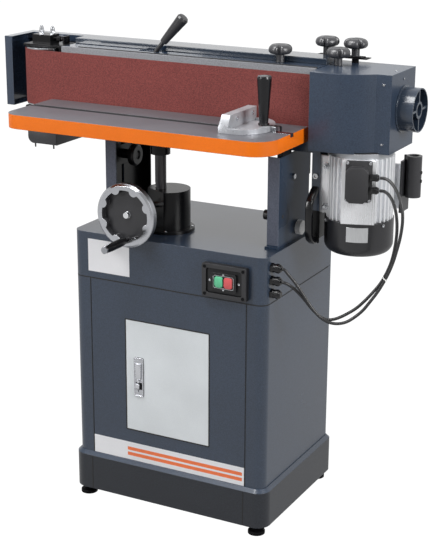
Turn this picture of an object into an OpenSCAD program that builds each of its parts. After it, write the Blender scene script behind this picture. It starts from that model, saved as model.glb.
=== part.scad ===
// Edge sander: a floor-standing belt sander with a tilting belt head over a
// lifting table. Lengths in millimetres, +Z up, origin on the floor under the
// middle of the cabinet, +X towards the motor end, -Y towards the operator.

/* [Stand] */
// Width of the cabinet
stand_w = 572; // [520:2:620]
// Depth of the cabinet
stand_d = 420; // [400:2:460]
// Radius of the two front corners of the cabinet
corner_r = 26; // [20:1:50]
// Radius of the two rear corners of the cabinet
rear_r = 10; // [5:1:20]
// Thickness of the stand's sheet metal
sheet_t = 2; // [1.5:0.5:3]
// Height of a levelling foot
foot_h = 24; // [18:1:40]
// Radius of a levelling foot
foot_r = 23; // [16:1:28]
// Height of the plinth
plinth_h = 109; // [80:1:140]
// How far the plinth stands out beyond the cabinet
plinth_out = 11; // [6:1:18]
// Height of the cabinet body between plinth and top box
body_h = 508; // [440:2:560]
// Height of the box on top of the cabinet
box_h = 126; // [110:1:150]
// Thickness of the top plate of the box
box_top_t = 4; // [3:0.5:8]
// Half distance between the two vertical seams of the front
seam_x = 234; // [200:1:240]
// Width of a seam between two sheet metal parts
seam_gap = 2; // [1:0.5:3]

/* [Door] */
// Width of the door
door_w = 250; // [200:2:300]
// Height of the door
door_h = 314; // [260:2:360]
// Height of the door's lower edge above the cabinet's lower edge
door_up = 93; // [60:1:110]
// Gap round the door
door_gap = 2.5; // [2.3:0.1:3.5]
// Depth of the door's folded edges
door_d = 14; // [12:1:24]
// Distance of the door's hinge pins from its edge and face
hinge_in = 4; // [3.5:0.1:4.5]
// Width of the lock plate
lock_w = 28; // [22:1:36]
// Height of the lock plate
lock_h = 110; // [90:1:130]
// Distance of the lock plate's middle from the door's middle
lock_x = 86; // [60:1:100]

/* [Switch] */
// Width of the switch plate
switch_w = 126; // [110:1:134]
// Height of the switch plate
switch_h = 88; // [70:1:96]
// Thickness of the switch plate
switch_t = 12; // [11:0.5:16]
// Distance of the switch's middle from the cabinet's middle
switch_x = 176; // [150:1:180]
// Width of a push button
button_w = 22; // [16:1:26]
// Height of a push button
button_h = 28; // [20:1:32]
// Travel of a push button
button_travel = 3; // [2:0.5:4]

/* [Uprights] */
// Outer face of the right upright's web
right_x = 276; // [250:1:280]
// Outer face of the left upright's web, measured to the left
left_x = 236; // [220:1:260]
// Front edge of the uprights, measured forward of the middle
upright_front = 120; // [110:1:130]
// Depth of an upright
upright_d = 184; // [170:1:200]
// Width of an upright's flanges
flange_w = 32; // [24:1:40]
// Thickness of an upright's steel
upright_t = 4; // [3:0.5:6]
// Height of an upright
upright_h = 238; // [230:1:245]
// Height of the lock stud's middle over the cabinet top
lock_stud_up = 180; // [165:1:190]

/* [Lift] */
// Place of the lifting column, measured to the left
column_x = 84; // [70:1:100]
// Place of the lifting column, measured forward
column_y = 90; // [84:1:100]
// Radius of the lifting column
column_r = 15; // [13:0.5:17]
// Distance from the column's axis to the pinion shaft's axis
pinion_off = 20; // [19:0.5:22]
// Gear module of rack and pinion
gear_m = 2; // [1.5:0.5:2]
// Number of teeth on the pinion
pinion_teeth = 12; // [11:1:12]
// Height of the pinion shaft over the cabinet top
pinion_up = 68; // [60:1:72]
// Radius of the lift housing
housing_r = 57; // [54:1:64]
// Height of the lift housing
housing_h = 112; // [100:1:118]
// How far the table can be lowered
lift_down = 45; // [20:1:50]
// How far the table can be raised
lift_up = 25; // [10:1:30]

/* [Hand wheel] */
// Radius of the hand wheel
wheel_r = 85; // [75:1:95]
// Thickness of the hand wheel's rim
wheel_t = 24; // [20:1:28]
// Front face of the hand wheel, measured forward of the cabinet face
wheel_front = 34; // [30:1:42]
// Radius at which the crank grip stands
crank_r = 66; // [58:1:72]
// Length of the crank grip
grip_l = 92; // [70:1:110]
// Radius of the crank grip
grip_r = 11; // [9:0.5:14]
// Number of finger lobes inside the rim
lobe_count = 8; // [6:1:10]

/* [Table] */
// Left end of the table, measured to the left
table_left = 424; // [400:1:440]
// Right end of the table
table_right = 328; // [310:1:334]
// Front edge of the table, measured forward
table_front = 298; // [270:1:320]
// Height of the table's top over the beam
table_up = 36; // [32:1:42]
// Depth of the table's edge
table_edge = 37; // [34:1:40]
// Thickness of the table's plate
table_t = 14; // [12:1:18]
// Thickness of the table's edge wall
edge_t = 12; // [8:1:16]
// Gap between table and belt
table_gap = 3; // [2:0.5:5]
// Radius of the table's front right corner
table_r_right = 36; // [20:1:50]
// Radius of the table's front left corner
table_r_left = 16; // [8:1:30]
// Place of the mitre slot's middle, measured forward
slot_y = 160; // [150:1:170]
// Width of the mitre slot
slot_w = 19.4; // [16:0.1:22]
// Depth of the mitre slot
slot_d = 9.5; // [8:0.5:10]

/* [Mitre gauge] */
// Place of the mitre gauge's pivot along the slot
mitre_x = 178; // [150:1:190]
// Length of the mitre bar
bar_l = 200; // [170:1:220]
// Radius of the mitre gauge's round base
mitre_r = 94; // [88:1:95]
// Thickness of the mitre gauge's base
mitre_t = 13; // [10:1:16]
// Height of the mitre fence over the table
fence_h = 42; // [34:1:50]
// Thickness of the mitre fence
fence_t = 24; // [18:1:26]
// Length of the mitre fence
fence_l = 164; // [150:1:166]
// Radius of the arc slot in the mitre gauge
arc_r = 72; // [68:1:74]
// Length of the mitre handle
handle_l = 122; // [100:1:140]
// Radius of the mitre handle at its top
handle_r = 18.5; // [16:0.5:22]

/* [Belt] */
// Width of the sanding belt
belt_w = 150; // [140:1:156]
// Length of the sanding belt round its loop
belt_l = 2260; // [2200:2:2290]
// Thickness of the sanding belt
belt_t = 1.2; // [0.8:0.1:1.6]
// Radius of the drive drum and of the idler
drum_r = 60; // [58:0.5:62]
// Place of the motor and drum axis
drum_x = 446; // [440:1:450]
// Height of the belt's lower edge over the beam
belt_up = 16; // [14:1:20]

/* [Head] */
// Width of the head's lower beam
beam_w = 90; // [80:1:96]
// Height of the head's lower beam
beam_h = 34; // [30:1:34]
// Gap between the beam and the uprights' tops
beam_gap = 5; // [4:0.5:8]
// Wall of the beam and the frame box
frame_t = 4; // [3:0.5:6]
// Thickness of the platen
platen_t = 9; // [8:0.5:10]
// How far the platen stands above the belt
platen_over = 15; // [12:1:20]
// Left end of the platen, measured to the left
platen_left = 410; // [406:1:414]
// Radius of the tilt hinge's barrel
barrel_r = 10; // [8:0.5:11]
// Radius of the tilt hinge's pin
pin_r = 5; // [4:0.5:6]

/* [Guard and hood] */
// Thickness of the guard's and hood's sheet
guard_t = 2; // [1.5:0.5:3]
// Rear face of the guard, measured back of the middle
guard_back = 108; // [104:1:116]
// Left face of the guard, measured to the left
guard_left = 616; // [606:1:630]
// Height of the guard's top over the belt's top
guard_over = 26; // [24:1:30]
// Height of the guard's panel
guard_h = 192; // [170:1:194]
// Width of the guard's folded edges
guard_lip = 24; // [18:1:30]
// Left edge of the hood
hood_left = 341; // [336:1:346]
// Right face of the hood
hood_right = 538; // [530:1:545]
// Front of the hood, measured forward
hood_front = 95; // [90:1:100]
// Rear of the hood
hood_back = 112; // [110:1:140]
// Radius of the hood's curved front
hood_r = 130; // [126:1:140]
// Height of the hood
hood_h = 196; // [192:1:202]
// Outer radius of the dust port
port_r = 55; // [48:1:58]
// Length of the dust port
port_l = 44; // [35:1:60]
// Place of the dust port's axis behind the middle
port_y = 37; // [34:1:44]

/* [Motor] */
// Radius of the motor body over its fins
motor_r = 85; // [80:1:88]
// Length of the finned motor body
motor_l = 176; // [160:1:190]
// Radius of the fan cover
fan_r = 88; // [87:1:95]
// Length of the fan cover
fan_l = 98; // [86:1:104]
// Radius of the motor shaft
shaft_r = 12; // [10:0.5:14]
// Number of cooling fins
fin_count = 36; // [24:2:48]
// Width of the terminal box
terminal_w = 56; // [50:1:62]
// Height of the terminal box
terminal_h = 100; // [92:1:104]
// Angle of the terminal box round the motor
terminal_turn = 19; // [10:1:24]
// Outer radius of the accessory tube
tube_r = 20; // [19:0.5:24]
// Bore radius of the accessory tube
tube_bore = 12.75; // [10:0.25:15]
// Length of the accessory tube
tube_l = 106; // [90:1:120]

/* [Knobs and lever] */
// Radius of a star knob
star_r = 31; // [26:0.5:33]
// Height of a star knob's head
star_h = 25; // [18:0.5:28]
// Height of a star knob's stem
stem_h = 20; // [16:0.5:30]
// Radius of a star knob's stem
stem_r = 10.5; // [8:0.5:13]
// Place of the tension lever, measured to the left
lever_x = 160; // [140:1:180]
// Length of the tension lever's grip
lever_grip = 92; // [70:1:100]
// Lean of the tension lever from upright
lever_lean = 42; // [30:1:50]
// Travel of the idler when the lever is let go
idler_travel = 8; // [5:0.5:8]

/* [Hidden] */
$fn = 48;

// Small clearances shared by the whole machine
run_fit = 0.05;
free_gap = 0.3;
over = 1;

// Heights of the stand
plinth_z = foot_h;
body_z = plinth_z + plinth_h;
box_z = body_z + body_h;
top_z = box_z + box_h;
front_y = -stand_d / 2;
right_face = stand_w / 2;

// Plinth details
plinth_bevel = 9;
plinth_flange = 78;
foot_in_x = 34;
foot_in_y = 26;
foot_plate_h = 9;
foot_neck_r = 12;

// Door and lock details
door_z = body_z + door_up;
pin_door_r = 2;
lock_t = 2.5;
lock_bezel = 4;
paddle_t = 3;
paddle_w = lock_w - 2 * lock_bezel;
paddle_share = 0.52;
paddle_h = lock_h * paddle_share;

// Switch details
switch_share = 0.42;
switch_z = box_z + box_h * switch_share;
switch_face = front_y - switch_t;
button_gap = 0.4;
button_apart = 9;
button_proud = 4;
bezel_out = 8;
bezel_t = 4;
screw_r = 3;

// Stand glands
gland_r = 13;
gland_l = 28;
gland_hex = 15;
gland_in = 33;
gland_y = front_y + gland_in;
gland_pitch = 34;
gland_drop = 30;
gland_top = top_z - gland_drop;
cable_r = 4;

// Upright details
upright_y = -upright_front;
upright_back = upright_y + upright_d;
upright_top = top_z + upright_h;
base_t = 5;
base_w = flange_w + 4;
guide_slot_w = 12;
guide_slot_low = 92;
guide_y = -40;
stud_r = 5;
stud_z = top_z + lock_stud_up;
web_bolt_y = -38;
pad_r = 19;
pad_t = 14;
pad_y = -2;
pad_up = 27;
lock_knob_y = -95;
lock_knob_up = 81;

// Tilt hinge
beam_z = upright_top + beam_gap;
belt_z = beam_z + beam_h + belt_up;
table_z = beam_z + beam_h + table_up;
beam_y = beam_w / 2;
hinge_plate_t = 6;
hinge_plate_h = 78;
hinge_clear = 0.5;
hinge_arm = 32;
hinge_y = upright_back + hinge_arm + hinge_plate_t + barrel_r + hinge_clear;
hinge_z = beam_z;
knuckle_w = 22;
hinge_xs = [-left_x + flange_w / 2, right_x - flange_w / 2];

// Lift details
pinion_x = -column_x - pinion_off;
pinion_z = top_z + pinion_up;
pinion_r = gear_m * pinion_teeth / 2;
gear_pitch = PI * gear_m;
gear_head = gear_m * 0.9;
gear_foot = gear_m * 1.25;
tooth_share = 0.36;
rack_x = pinion_off - pinion_r;
rack_low = 60;
rack_count = 19;
housing_x = -column_x + 19;
housing_y = -column_y + 11;
housing_base_r = housing_r + 11;
housing_base_t = 8;
housing_flat = 44;
housing_flat_turn = 25;
column_bottom = top_z + 8;
column_top = table_z - table_t;
boss_r = 26;
boss_low = 71;
pinion_w = 22;
pinion_shaft_r = 8;
wheel_y = front_y - wheel_front;

// Hand wheel details
wheel_pocket = 16;
pocket_r = wheel_r - 17;
lobe_r = 13;
lobe_at = wheel_r - 13;
hub_r = 19;
hub_back = 12;
hub_nut_r = 8;
hub_nut_t = 9;
crank_pin_r = 5;
crank_cap_t = 7;

// Table details
table_y = -table_front;
belt_front = -drum_r - belt_t;
table_back = belt_front - table_gap;
table_w = table_left + table_right;
table_d = table_back - table_y;
bracket_t = 6;
bracket_w = 54;
bracket_back = 22;
notch_gap = 4;
knob_disc_r = 29;
knob_disc_t = 16;
knob_hub_r = 13;
rib_t = 8;
rib_h = 15;

// Mitre gauge details
slot_gap = 0.2;
bar_w = slot_w - 2 * slot_gap;
bar_t = slot_d - slot_gap;
bar_left = 52;
mitre_z = table_z + free_gap;
arc_w = 9;
arc_half = 47;
slot_spare = 5;
sector_half = 62;
mitre_stud_r = 4;
handle_low_r = 11;
notch_r = 5;
fence_slope = 20;
fence_in = 0.5;
pivot_r = 6;

// Belt and rollers
belt_top = belt_z + belt_w;
idler_x = drum_x - (belt_l - 2 * PI * (drum_r + belt_t / 2)) / 2;
roller_low = belt_z - 4;
roller_h = belt_w + 8;
roller_fit = 0.3;

// Head frame
platen_z = beam_z + beam_h;
platen_gap = 2.5;
frame_y = drum_r - platen_t - platen_gap;
head_top = belt_top + platen_over;
frame_right = hood_left;
frame_left = platen_left - 2;
top_plate_back = 76;
tab_back = 104;
lever_slot = 62;
lever_slot_w = 22;
lever_y = -10;
lever_z = head_top - 19;
hub_lever_r = 11;
lever_pin_r = 5;
lever_rod_r = 6;
lever_rod_l = 62;
lever_wide_r = 16;
lever_thin_r = 10;
window_w = 150;
window_h = 96;

// Guard
guard_top = belt_top + guard_over;
guard_front = -30;
rail_w = 32;
rail_lip = 18;
guard_end = 338;
guard_flange_end = 420;
tab_t = 3;
tab_w = 46;
tab_d = 24;
guard_knob_y = 90;
guard_knob_left_x = 306;
guard_knob_right_x = 384;
platen_knob_x = 219;
platen_knob_y = -6;
hood_knob_x = 364;
hood_knob_y = 26;
stud_l = 8;
stud_fit = 0.5;
boss_knob_r = 9;

// Hood
hood_top = head_top - 2;
hood_z = hood_top - hood_h;
hood_cx = 400;
hood_cy = hood_r - hood_front;
strip_x = 498;
port_z = hood_z + 101;
port_wall = 3;
port_hub_r = 19;
spoke_t = 5;
port_flange = 8;
hood_floor_x = 346;

// Motor
motor_top = hood_z;
motor_z = motor_top - motor_l;
fan_over = 8;
fan_z = motor_z + fan_over - fan_l;
shield_r = motor_r - 4;
shield_t = 14;
fin_t = 3;
fin_d = 9;
core_r = motor_r - fin_d;
cavity_r = core_r - 14;
end_t = 12;
plate_x = hood_left - 3;
plate_t = 6;
plate_half = 60;
plate_low = fan_z + 20;
plate_lip = 22;
foot_t = 8;
foot_w = 24;
foot_y = plate_half - plate_t - free_gap - foot_w / 2;
foot_end = 10;
terminal_d = 36;
terminal_base = 7;
terminal_out = 1;
lid_t = 9;
lid_in = 4;
lid_cut = 12;
motor_gland_r = 10;
motor_gland_l = 23;
motor_gland_hex = 13;
motor_gland_pitch = 32;
motor_gland_up = -2;
seat_w = 84;
motor_gland_in = 22;
pad_depth = 26;
tube_y = 64;
tube_gap = 0.6;
tube_plate_t = 6;
tube_plate_x = drum_x + fan_r + fin_t;
tube_x = tube_plate_x + tube_plate_t + tube_r;
tube_down = 20;
tube_z = hood_z - tube_down - tube_l;
tube_plate_h = 134;
tube_plate_w = 54;
tube_drop = 40;
set_screw_r = 3.5;
bolt_r = 5;
bolt_head_r = 7.5;
bolt_head_t = 6;

// Pull handle
bow_h = 140;
bow_out = 44;
bow_t = 15;
bow_w = 20;
bow_r = 18;
bow_z = 782;

// Idler carriage
fork_gap = free_gap;
fork_z = platen_z + fork_gap;
fork_t = 6;
fork_top = belt_top + 6;
fork_left = 52;
fork_right = 70;
fork_web = 6;
fork_half = 40;
block_left = 34;
block_right = 24;
block_half = 22;
block_h = 24;
axle_r = 10;
nut_r = 7.5;
nut_t = 9;
nut_apart = 18;
rod_r = 6;
rod_z = belt_top - 40;
rod_end = 26;
track_z = fork_top + fork_t + 13;
track_r = 4;
track_nut_r = 8;
track_nut_t = 7;
track_plate_t = 5;
track_plate_h = 22;
track_plate_half = 14;

// Tension housing under the left end of the beam
tension_left = 46;
tension_right = 40;
tension_h = 72;
tension_front = -30;
tension_back = 106;
tension_r = 14;
tension_wall = 3;
tension_stud_r = 4;
tension_stud_l = 10;
tension_stud_at = 30;

// Rotor
rotor_r = cavity_r - 6;
fan_blade_r = fan_r - 12;
fan_blade_t = 4;
fan_blade_h = 26;
fan_blades = 8;

// Routes of the two motor cables, from the cabinet's glands to the motor's glands
upper_route = [[315, -177, 737], [322, -177, 736], [333, -175, 724], [348, -172, 707], [363, -169, 687],
    [377, -165, 665], [390, -162, 646], [404, -159, 629], [421, -155, 615], [440, -152, 608], [460, -148, 608],
    [480, -145, 615], [499, -141, 629], [519, -137, 649], [537, -133, 675], [554, -129, 702], [571, -125, 736],
    [584, -121, 770], [593, -117, 806], [600, -113, 844], [602, -108, 881], [597, -102, 914], [585, -95, 940],
    [571, -88, 958], [556, -82, 970], [542, -79, 975], [529, -82, 976]];
lower_route = [[315, -177, 703], [323, -177, 702], [332, -172, 697], [345, -167, 687], [359, -162, 673],
    [374, -157, 655], [389, -153, 637], [405, -148, 621], [423, -144, 612], [440, -139, 613], [457, -135, 620],
    [476, -131, 632], [497, -127, 648], [517, -123, 669], [537, -119, 694], [555, -115, 720], [569, -111, 750],
    [579, -108, 781], [584, -104, 814], [586, -101, 847], [583, -96, 878], [576, -91, 904], [566, -86, 923],
    [554, -81, 936], [541, -79, 943], [529, -82, 944]];
cable_sides = 10;

// Rounded plan of the stand, grown or shrunk by one amount all round
module stand_plan(grow) {
    half_x = right_face + grow;
    half_y = stand_d / 2 + grow;
    front_r = corner_r + grow;
    back_r = rear_r + grow;
    union() {
        translate([-half_x, -half_y + front_r]) square([2 * half_x, 2 * half_y - front_r - back_r]);
        translate([-half_x + front_r, -half_y]) square([2 * (half_x - front_r), front_r]);
        translate([-half_x + back_r, half_y - back_r]) square([2 * (half_x - back_r), back_r]);
        for (side = [-1, 1]) {
            translate([side * (half_x - front_r), -half_y + front_r]) circle(front_r);
            translate([side * (half_x - back_r), half_y - back_r]) circle(back_r);
        }
    }
}

// Rectangle with round corners about its middle
module round_rect(x, y, r) {
    union() {
        square([x - 2 * r, y], center = true);
        square([x, y - 2 * r], center = true);
        for (i = [-1, 1], j = [-1, 1]) translate([i * (x / 2 - r), j * (y / 2 - r)]) circle(r);
    }
}

// Slot with round ends standing along the second axis
module long_slot(w, l) {
    union() {
        square([w, l - w], center = true);
        for (i = [-1, 1]) translate([0, i * (l - w) / 2]) circle(w / 2);
    }
}

// Puts children on the axis +X
module along_x() { rotate([0, 90, 0]) children(); }

// Puts children on the axis -Y
module along_front() { rotate([90, 0, 0]) children(); }

module plinth() {
    color("#3c4450") difference() {
        union() {
            translate([0, 0, plinth_z]) linear_extrude(plinth_h - plinth_bevel) stand_plan(plinth_out);
            hull() {
                translate([0, 0, body_z - plinth_bevel - sheet_t]) linear_extrude(sheet_t)
                    stand_plan(plinth_out);
                translate([0, 0, body_z - sheet_t]) linear_extrude(sheet_t)
                    stand_plan(plinth_out - plinth_bevel);
            }
        }
        translate([0, 0, plinth_z + sheet_t]) linear_extrude(plinth_h - 2 * sheet_t - plinth_bevel)
            stand_plan(plinth_out - sheet_t);
        translate([0, 0, plinth_z - over]) linear_extrude(plinth_h / 2)
            round_rect(stand_w - 2 * plinth_flange, stand_d - 2 * plinth_flange, rear_r);
        for (side = [-1, 1])
            translate([side * seam_x - seam_gap / 2, front_y - plinth_out - over, plinth_z - over])
                cube([seam_gap, sheet_t / 2 + over, plinth_h - plinth_bevel + over]);
    }
}

module levelling_feet() {
    color("#1c1c1e") for (i = [-1, 1], j = [-1, 1])
        translate([i * (right_face + plinth_out - foot_in_x), j * (stand_d / 2 + plinth_out - foot_in_y), 0])
            rotate_extrude() polygon([[0, 0], [foot_r, 0], [foot_r, foot_plate_h - sheet_t], [foot_r - sheet_t, foot_plate_h],
                [foot_neck_r, foot_plate_h + sheet_t], [foot_neck_r, foot_h], [0, foot_h]]);
}

module cabinet_body() {
    color("#465060") difference() {
        translate([0, 0, body_z]) linear_extrude(body_h) difference() {
            stand_plan(0);
            stand_plan(-sheet_t);
        }
        translate([-seam_x, front_y - over, body_z - over])
            cube([2 * seam_x, sheet_t + 2 * over, body_h + 2 * over]);
    }
}

module front_panel() {
    panel_w = 2 * (seam_x - seam_gap);
    open_w = door_w + 2 * door_gap;
    open_h = door_h + 2 * door_gap;
    lip_d = door_d + sheet_t;
    color("#465060") difference() {
        union() {
            translate([-panel_w / 2, front_y, body_z]) cube([panel_w, sheet_t, body_h]);
            translate([-open_w / 2 - sheet_t, front_y, door_z - door_gap - sheet_t])
                cube([open_w + 2 * sheet_t, lip_d, open_h + 2 * sheet_t]);
        }
        translate([-open_w / 2, front_y - over, door_z - door_gap])
            cube([open_w, lip_d + 2 * over, open_h]);
        translate([door_w / 2 - hinge_in, front_y + hinge_in, door_z - door_gap - sheet_t - over])
            cylinder(r = pin_door_r + run_fit, h = open_h + 2 * sheet_t + 2 * over);
    }
}

module door() {
    color("#cfd4d8") difference() {
        union() {
            translate([-door_w / 2, front_y, door_z]) cube([door_w, door_d, door_h]);
            translate([door_w / 2 - hinge_in, front_y + hinge_in, door_z - door_gap - sheet_t])
                cylinder(r = pin_door_r, h = door_h + 2 * door_gap + 2 * sheet_t);
        }
        translate([-door_w / 2 + sheet_t, front_y + sheet_t, door_z + sheet_t])
            cube([door_w - sheet_t - 2 * hinge_in, door_d, door_h - 2 * sheet_t]);
    }
}

module door_lock() {
    color("#d8dadd") translate([-lock_x, front_y, door_z + door_h / 2]) along_front()
        difference() {
            linear_extrude(lock_t) round_rect(lock_w, lock_h, lock_bezel);
            translate([0, -lock_h / 2 + 3 * lock_bezel + screw_r, -over])
                cylinder(r = screw_r, h = lock_t + 2 * over);
        }
}

module lock_lever() {
    pivot_y = front_y - lock_t - free_gap - paddle_t / 2;
    color("#e6e8ea") translate([-lock_x, pivot_y, door_z + door_h / 2 - lock_bezel]) union() {
        along_x() translate([0, 0, -paddle_w / 2]) cylinder(d = paddle_t, h = paddle_w);
        translate([-paddle_w / 2, -paddle_t / 2, 0]) cube([paddle_w, paddle_t, paddle_h - paddle_w / 2]);
    }
}

module top_box() {
    wall_in = sheet_t + free_gap;
    color("#4b5563") difference() {
        union() {
            translate([0, 0, box_z + seam_gap]) linear_extrude(box_h - seam_gap) stand_plan(0);
            translate([0, 0, box_z]) linear_extrude(seam_gap) stand_plan(-sheet_t / 2);
        }
        translate([0, 0, box_z - over]) linear_extrude(box_h - box_top_t + over) stand_plan(-wall_in);
        translate([-column_x, -column_y, top_z - box_top_t - over])
            cylinder(r = column_r + over, h = box_top_t + 2 * over);
        for (i = [0:2]) translate([right_face - wall_in - over, gland_y, gland_top - i * gland_pitch])
            along_x() cylinder(r = cable_r + over, h = wall_in + 2 * over);
        translate([switch_x - button_w, front_y - over, switch_z - button_h / 2])
            cube([2 * button_w, wall_in + 2 * over, button_h]);
    }
}

// One upright: a channel with its web outside, on a base plate; side is -1 for left, 1 for right
module upright(side, outer) {
    translate([side * outer, 0, 0]) mirror([side > 0 ? 1 : 0, 0, 0]) difference() {
        union() {
            translate([0, upright_y, top_z]) cube([upright_t, upright_d, upright_h]);
            translate([0, upright_y, top_z]) cube([flange_w, upright_t, upright_h]);
            translate([0, upright_back - upright_t, top_z]) cube([flange_w, upright_t, upright_h]);
            translate([0, upright_y - base_t, top_z]) cube([base_w, upright_d + 2 * base_t, base_t]);
        }
        children();
    }
}

module left_upright() {
    slot_l = stud_z + lift_up - top_z - guide_slot_low + 2 * stud_r;
    color("#4b5563") upright(-1, left_x)
        translate([-over, guide_y, top_z + guide_slot_low + slot_l / 2]) along_x()
            linear_extrude(upright_t + 2 * over) rotate(90) long_slot(guide_slot_w, slot_l);
}

module right_upright() {
    color("#4b5563") upright(1, right_x) union() {
        translate([-over, web_bolt_y, stud_z - stud_r]) along_x()
            cylinder(r = stud_r, h = upright_t + 2 * over);
        translate([-over, lock_knob_y, top_z + lock_knob_up]) along_x()
            cylinder(r = stud_r + run_fit, h = upright_t + 2 * over);
    }
}

module hinge_brackets() {
    color("#1f2023") for (x = hinge_xs) difference() {
        union() {
            translate([x - flange_w / 2, upright_back, upright_top - hinge_plate_h])
                cube([flange_w, hinge_plate_t, hinge_plate_h]);
            for (i = [-1, 1]) translate([x + i * knuckle_w * 3 / 4 - knuckle_w / 4, hinge_y, hinge_z]) union() {
                along_x() cylinder(r = barrel_r, h = knuckle_w / 2);
                translate([0, -hinge_y + upright_back, -2 * barrel_r])
                    cube([knuckle_w / 2, hinge_y - upright_back, 2 * barrel_r - beam_gap]);
            }
        }
        translate([x - flange_w, hinge_y, hinge_z]) along_x() cylinder(r = pin_r + run_fit, h = 2 * flange_w);
    }
}

module hinge_pins() {
    color("silver") for (x = hinge_xs) translate([x - knuckle_w * 5 / 4, hinge_y, hinge_z]) along_x()
        cylinder(r = pin_r, h = knuckle_w * 5 / 2);
}

module stop_pad() {
    color("#eeeeea") translate([right_x, pad_y, top_z + base_t + pad_up]) along_x()
        cylinder(r = pad_r, h = pad_t);
}

module tilt_lock_knob() {
    reach = 50;
    color("#222224") translate([right_x, lock_knob_y, top_z + lock_knob_up]) rotate([0, -90, 0]) union() {
        cylinder(r = stud_r, h = reach);
        translate([0, 0, upright_t + free_gap]) cylinder(r = knob_hub_r, h = reach / 4);
        translate([0, 0, reach - knob_hub_r]) cylinder(r = knob_hub_r, h = knob_hub_r);
    }
}

// Gear outline of straight-sided teeth about the middle
module gear_outline(r, teeth) {
    root = r - gear_foot;
    half = 360 / teeth * tooth_share / 2;
    tip_half = half / 2;
    foot_half = half * 3 / 2;
    polygon([for (i = [0:teeth - 1], k = [0:3])
        let (turn = i * 360 / teeth + [-foot_half, -tip_half, tip_half, foot_half][k],
            out = k == 1 || k == 2 ? r + gear_head : root)
        [out * cos(turn), out * sin(turn)]]);
}

module pinion_shaft() {
    shaft_front = wheel_y + wheel_pocket;
    shaft_back = -column_y + pinion_w;
    color("#9a9ca0") union() {
        translate([pinion_x, shaft_back, pinion_z]) along_front()
            cylinder(r = pinion_shaft_r, h = shaft_back - shaft_front);
        translate([pinion_x, -column_y + pinion_w / 2, pinion_z]) along_front()
            linear_extrude(pinion_w) gear_outline(pinion_r, pinion_teeth);
    }
}

module lift_housing() {
    color("#17181a") difference() {
        union() {
            translate([housing_x, housing_y, top_z]) cylinder(r = housing_r, h = housing_h);
            translate([housing_x, housing_y, top_z]) cylinder(r = housing_base_r, h = housing_base_t);
        }
        translate([housing_x, housing_y, top_z + housing_base_t]) rotate(-housing_flat_turn)
            translate([-housing_r, -housing_r - housing_flat, 0]) cube([2 * housing_r, housing_r, housing_h]);
        translate([-column_x, -column_y, top_z - over])
            cylinder(r = column_r + run_fit, h = housing_h + 2 * over);
        translate([pinion_x, -column_y + pinion_w + over, pinion_z]) along_front()
            cylinder(r = pinion_shaft_r + run_fit, h = housing_r * 2);
        translate([pinion_x, -column_y + pinion_w / 2 + over, pinion_z]) along_front()
            cylinder(r = pinion_r + gear_head + over, h = pinion_w + 2 * over);
    }
}

module handwheel() {
    color("#c9ccd0") translate([pinion_x, wheel_y, pinion_z]) along_front() difference() {
        union() {
            translate([0, 0, -wheel_t]) rotate_extrude() polygon([[0, 0], [wheel_r - 4, 0], [wheel_r, 4],
                [wheel_r, wheel_t - 6], [wheel_r - 6, wheel_t], [0, wheel_t]]);
            translate([0, 0, -wheel_t - hub_back]) cylinder(r = hub_r, h = hub_back + over);
        }
        translate([0, 0, -wheel_pocket]) linear_extrude(wheel_pocket + over) difference() {
            circle(pocket_r);
            for (i = [0:lobe_count - 1]) rotate((i + 0.5) * 360 / lobe_count) translate([lobe_at, 0])
                circle(lobe_r);
        }
        translate([0, 0, -wheel_t - hub_back - over])
            cylinder(r = pinion_shaft_r, h = wheel_t + hub_back + 2 * over);
    }
    color("#d8dadd") translate([pinion_x, wheel_y + wheel_pocket, pinion_z]) along_front()
        cylinder(r = hub_nut_r, h = hub_nut_t);
    color("#d8dadd") translate([pinion_x, wheel_y + wheel_pocket, pinion_z - crank_r]) along_front()
        cylinder(r = crank_pin_r, h = wheel_pocket + grip_l);
}

module crank_grip() {
    color("#1d1e20") translate([pinion_x, wheel_y - free_gap, pinion_z - crank_r]) along_front() difference() {
        rotate_extrude() polygon([[0, 0], [grip_r * 0.8, 0], [grip_r, grip_l / 4], [grip_r, grip_l * 3 / 4],
            [grip_r * 0.85, grip_l], [grip_r * 0.85, grip_l + crank_cap_t], [0, grip_l + crank_cap_t]]);
        translate([0, 0, -over]) cylinder(r = crank_pin_r + run_fit, h = grip_l + 2 * over);
    }
}

// Plan of the table, grown or shrunk by one amount all round
module table_plan(grow) {
    x0 = -table_left - grow;
    x1 = table_right + grow;
    y0 = table_y - grow;
    y1 = table_back + grow;
    rl = table_r_left + grow;
    rr = table_r_right + grow;
    union() {
        translate([x0, y0 + rr]) square([x1 - x0, y1 - y0 - rr]);
        translate([x0 + rl, y0]) square([x1 - x0 - rl - rr, rr]);
        translate([x0, y0 + rl]) square([rl, rr]);
        translate([x0 + rl, y0 + rl]) circle(rl);
        translate([x1 - rr, y0 + rr]) circle(rr);
    }
}

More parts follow.
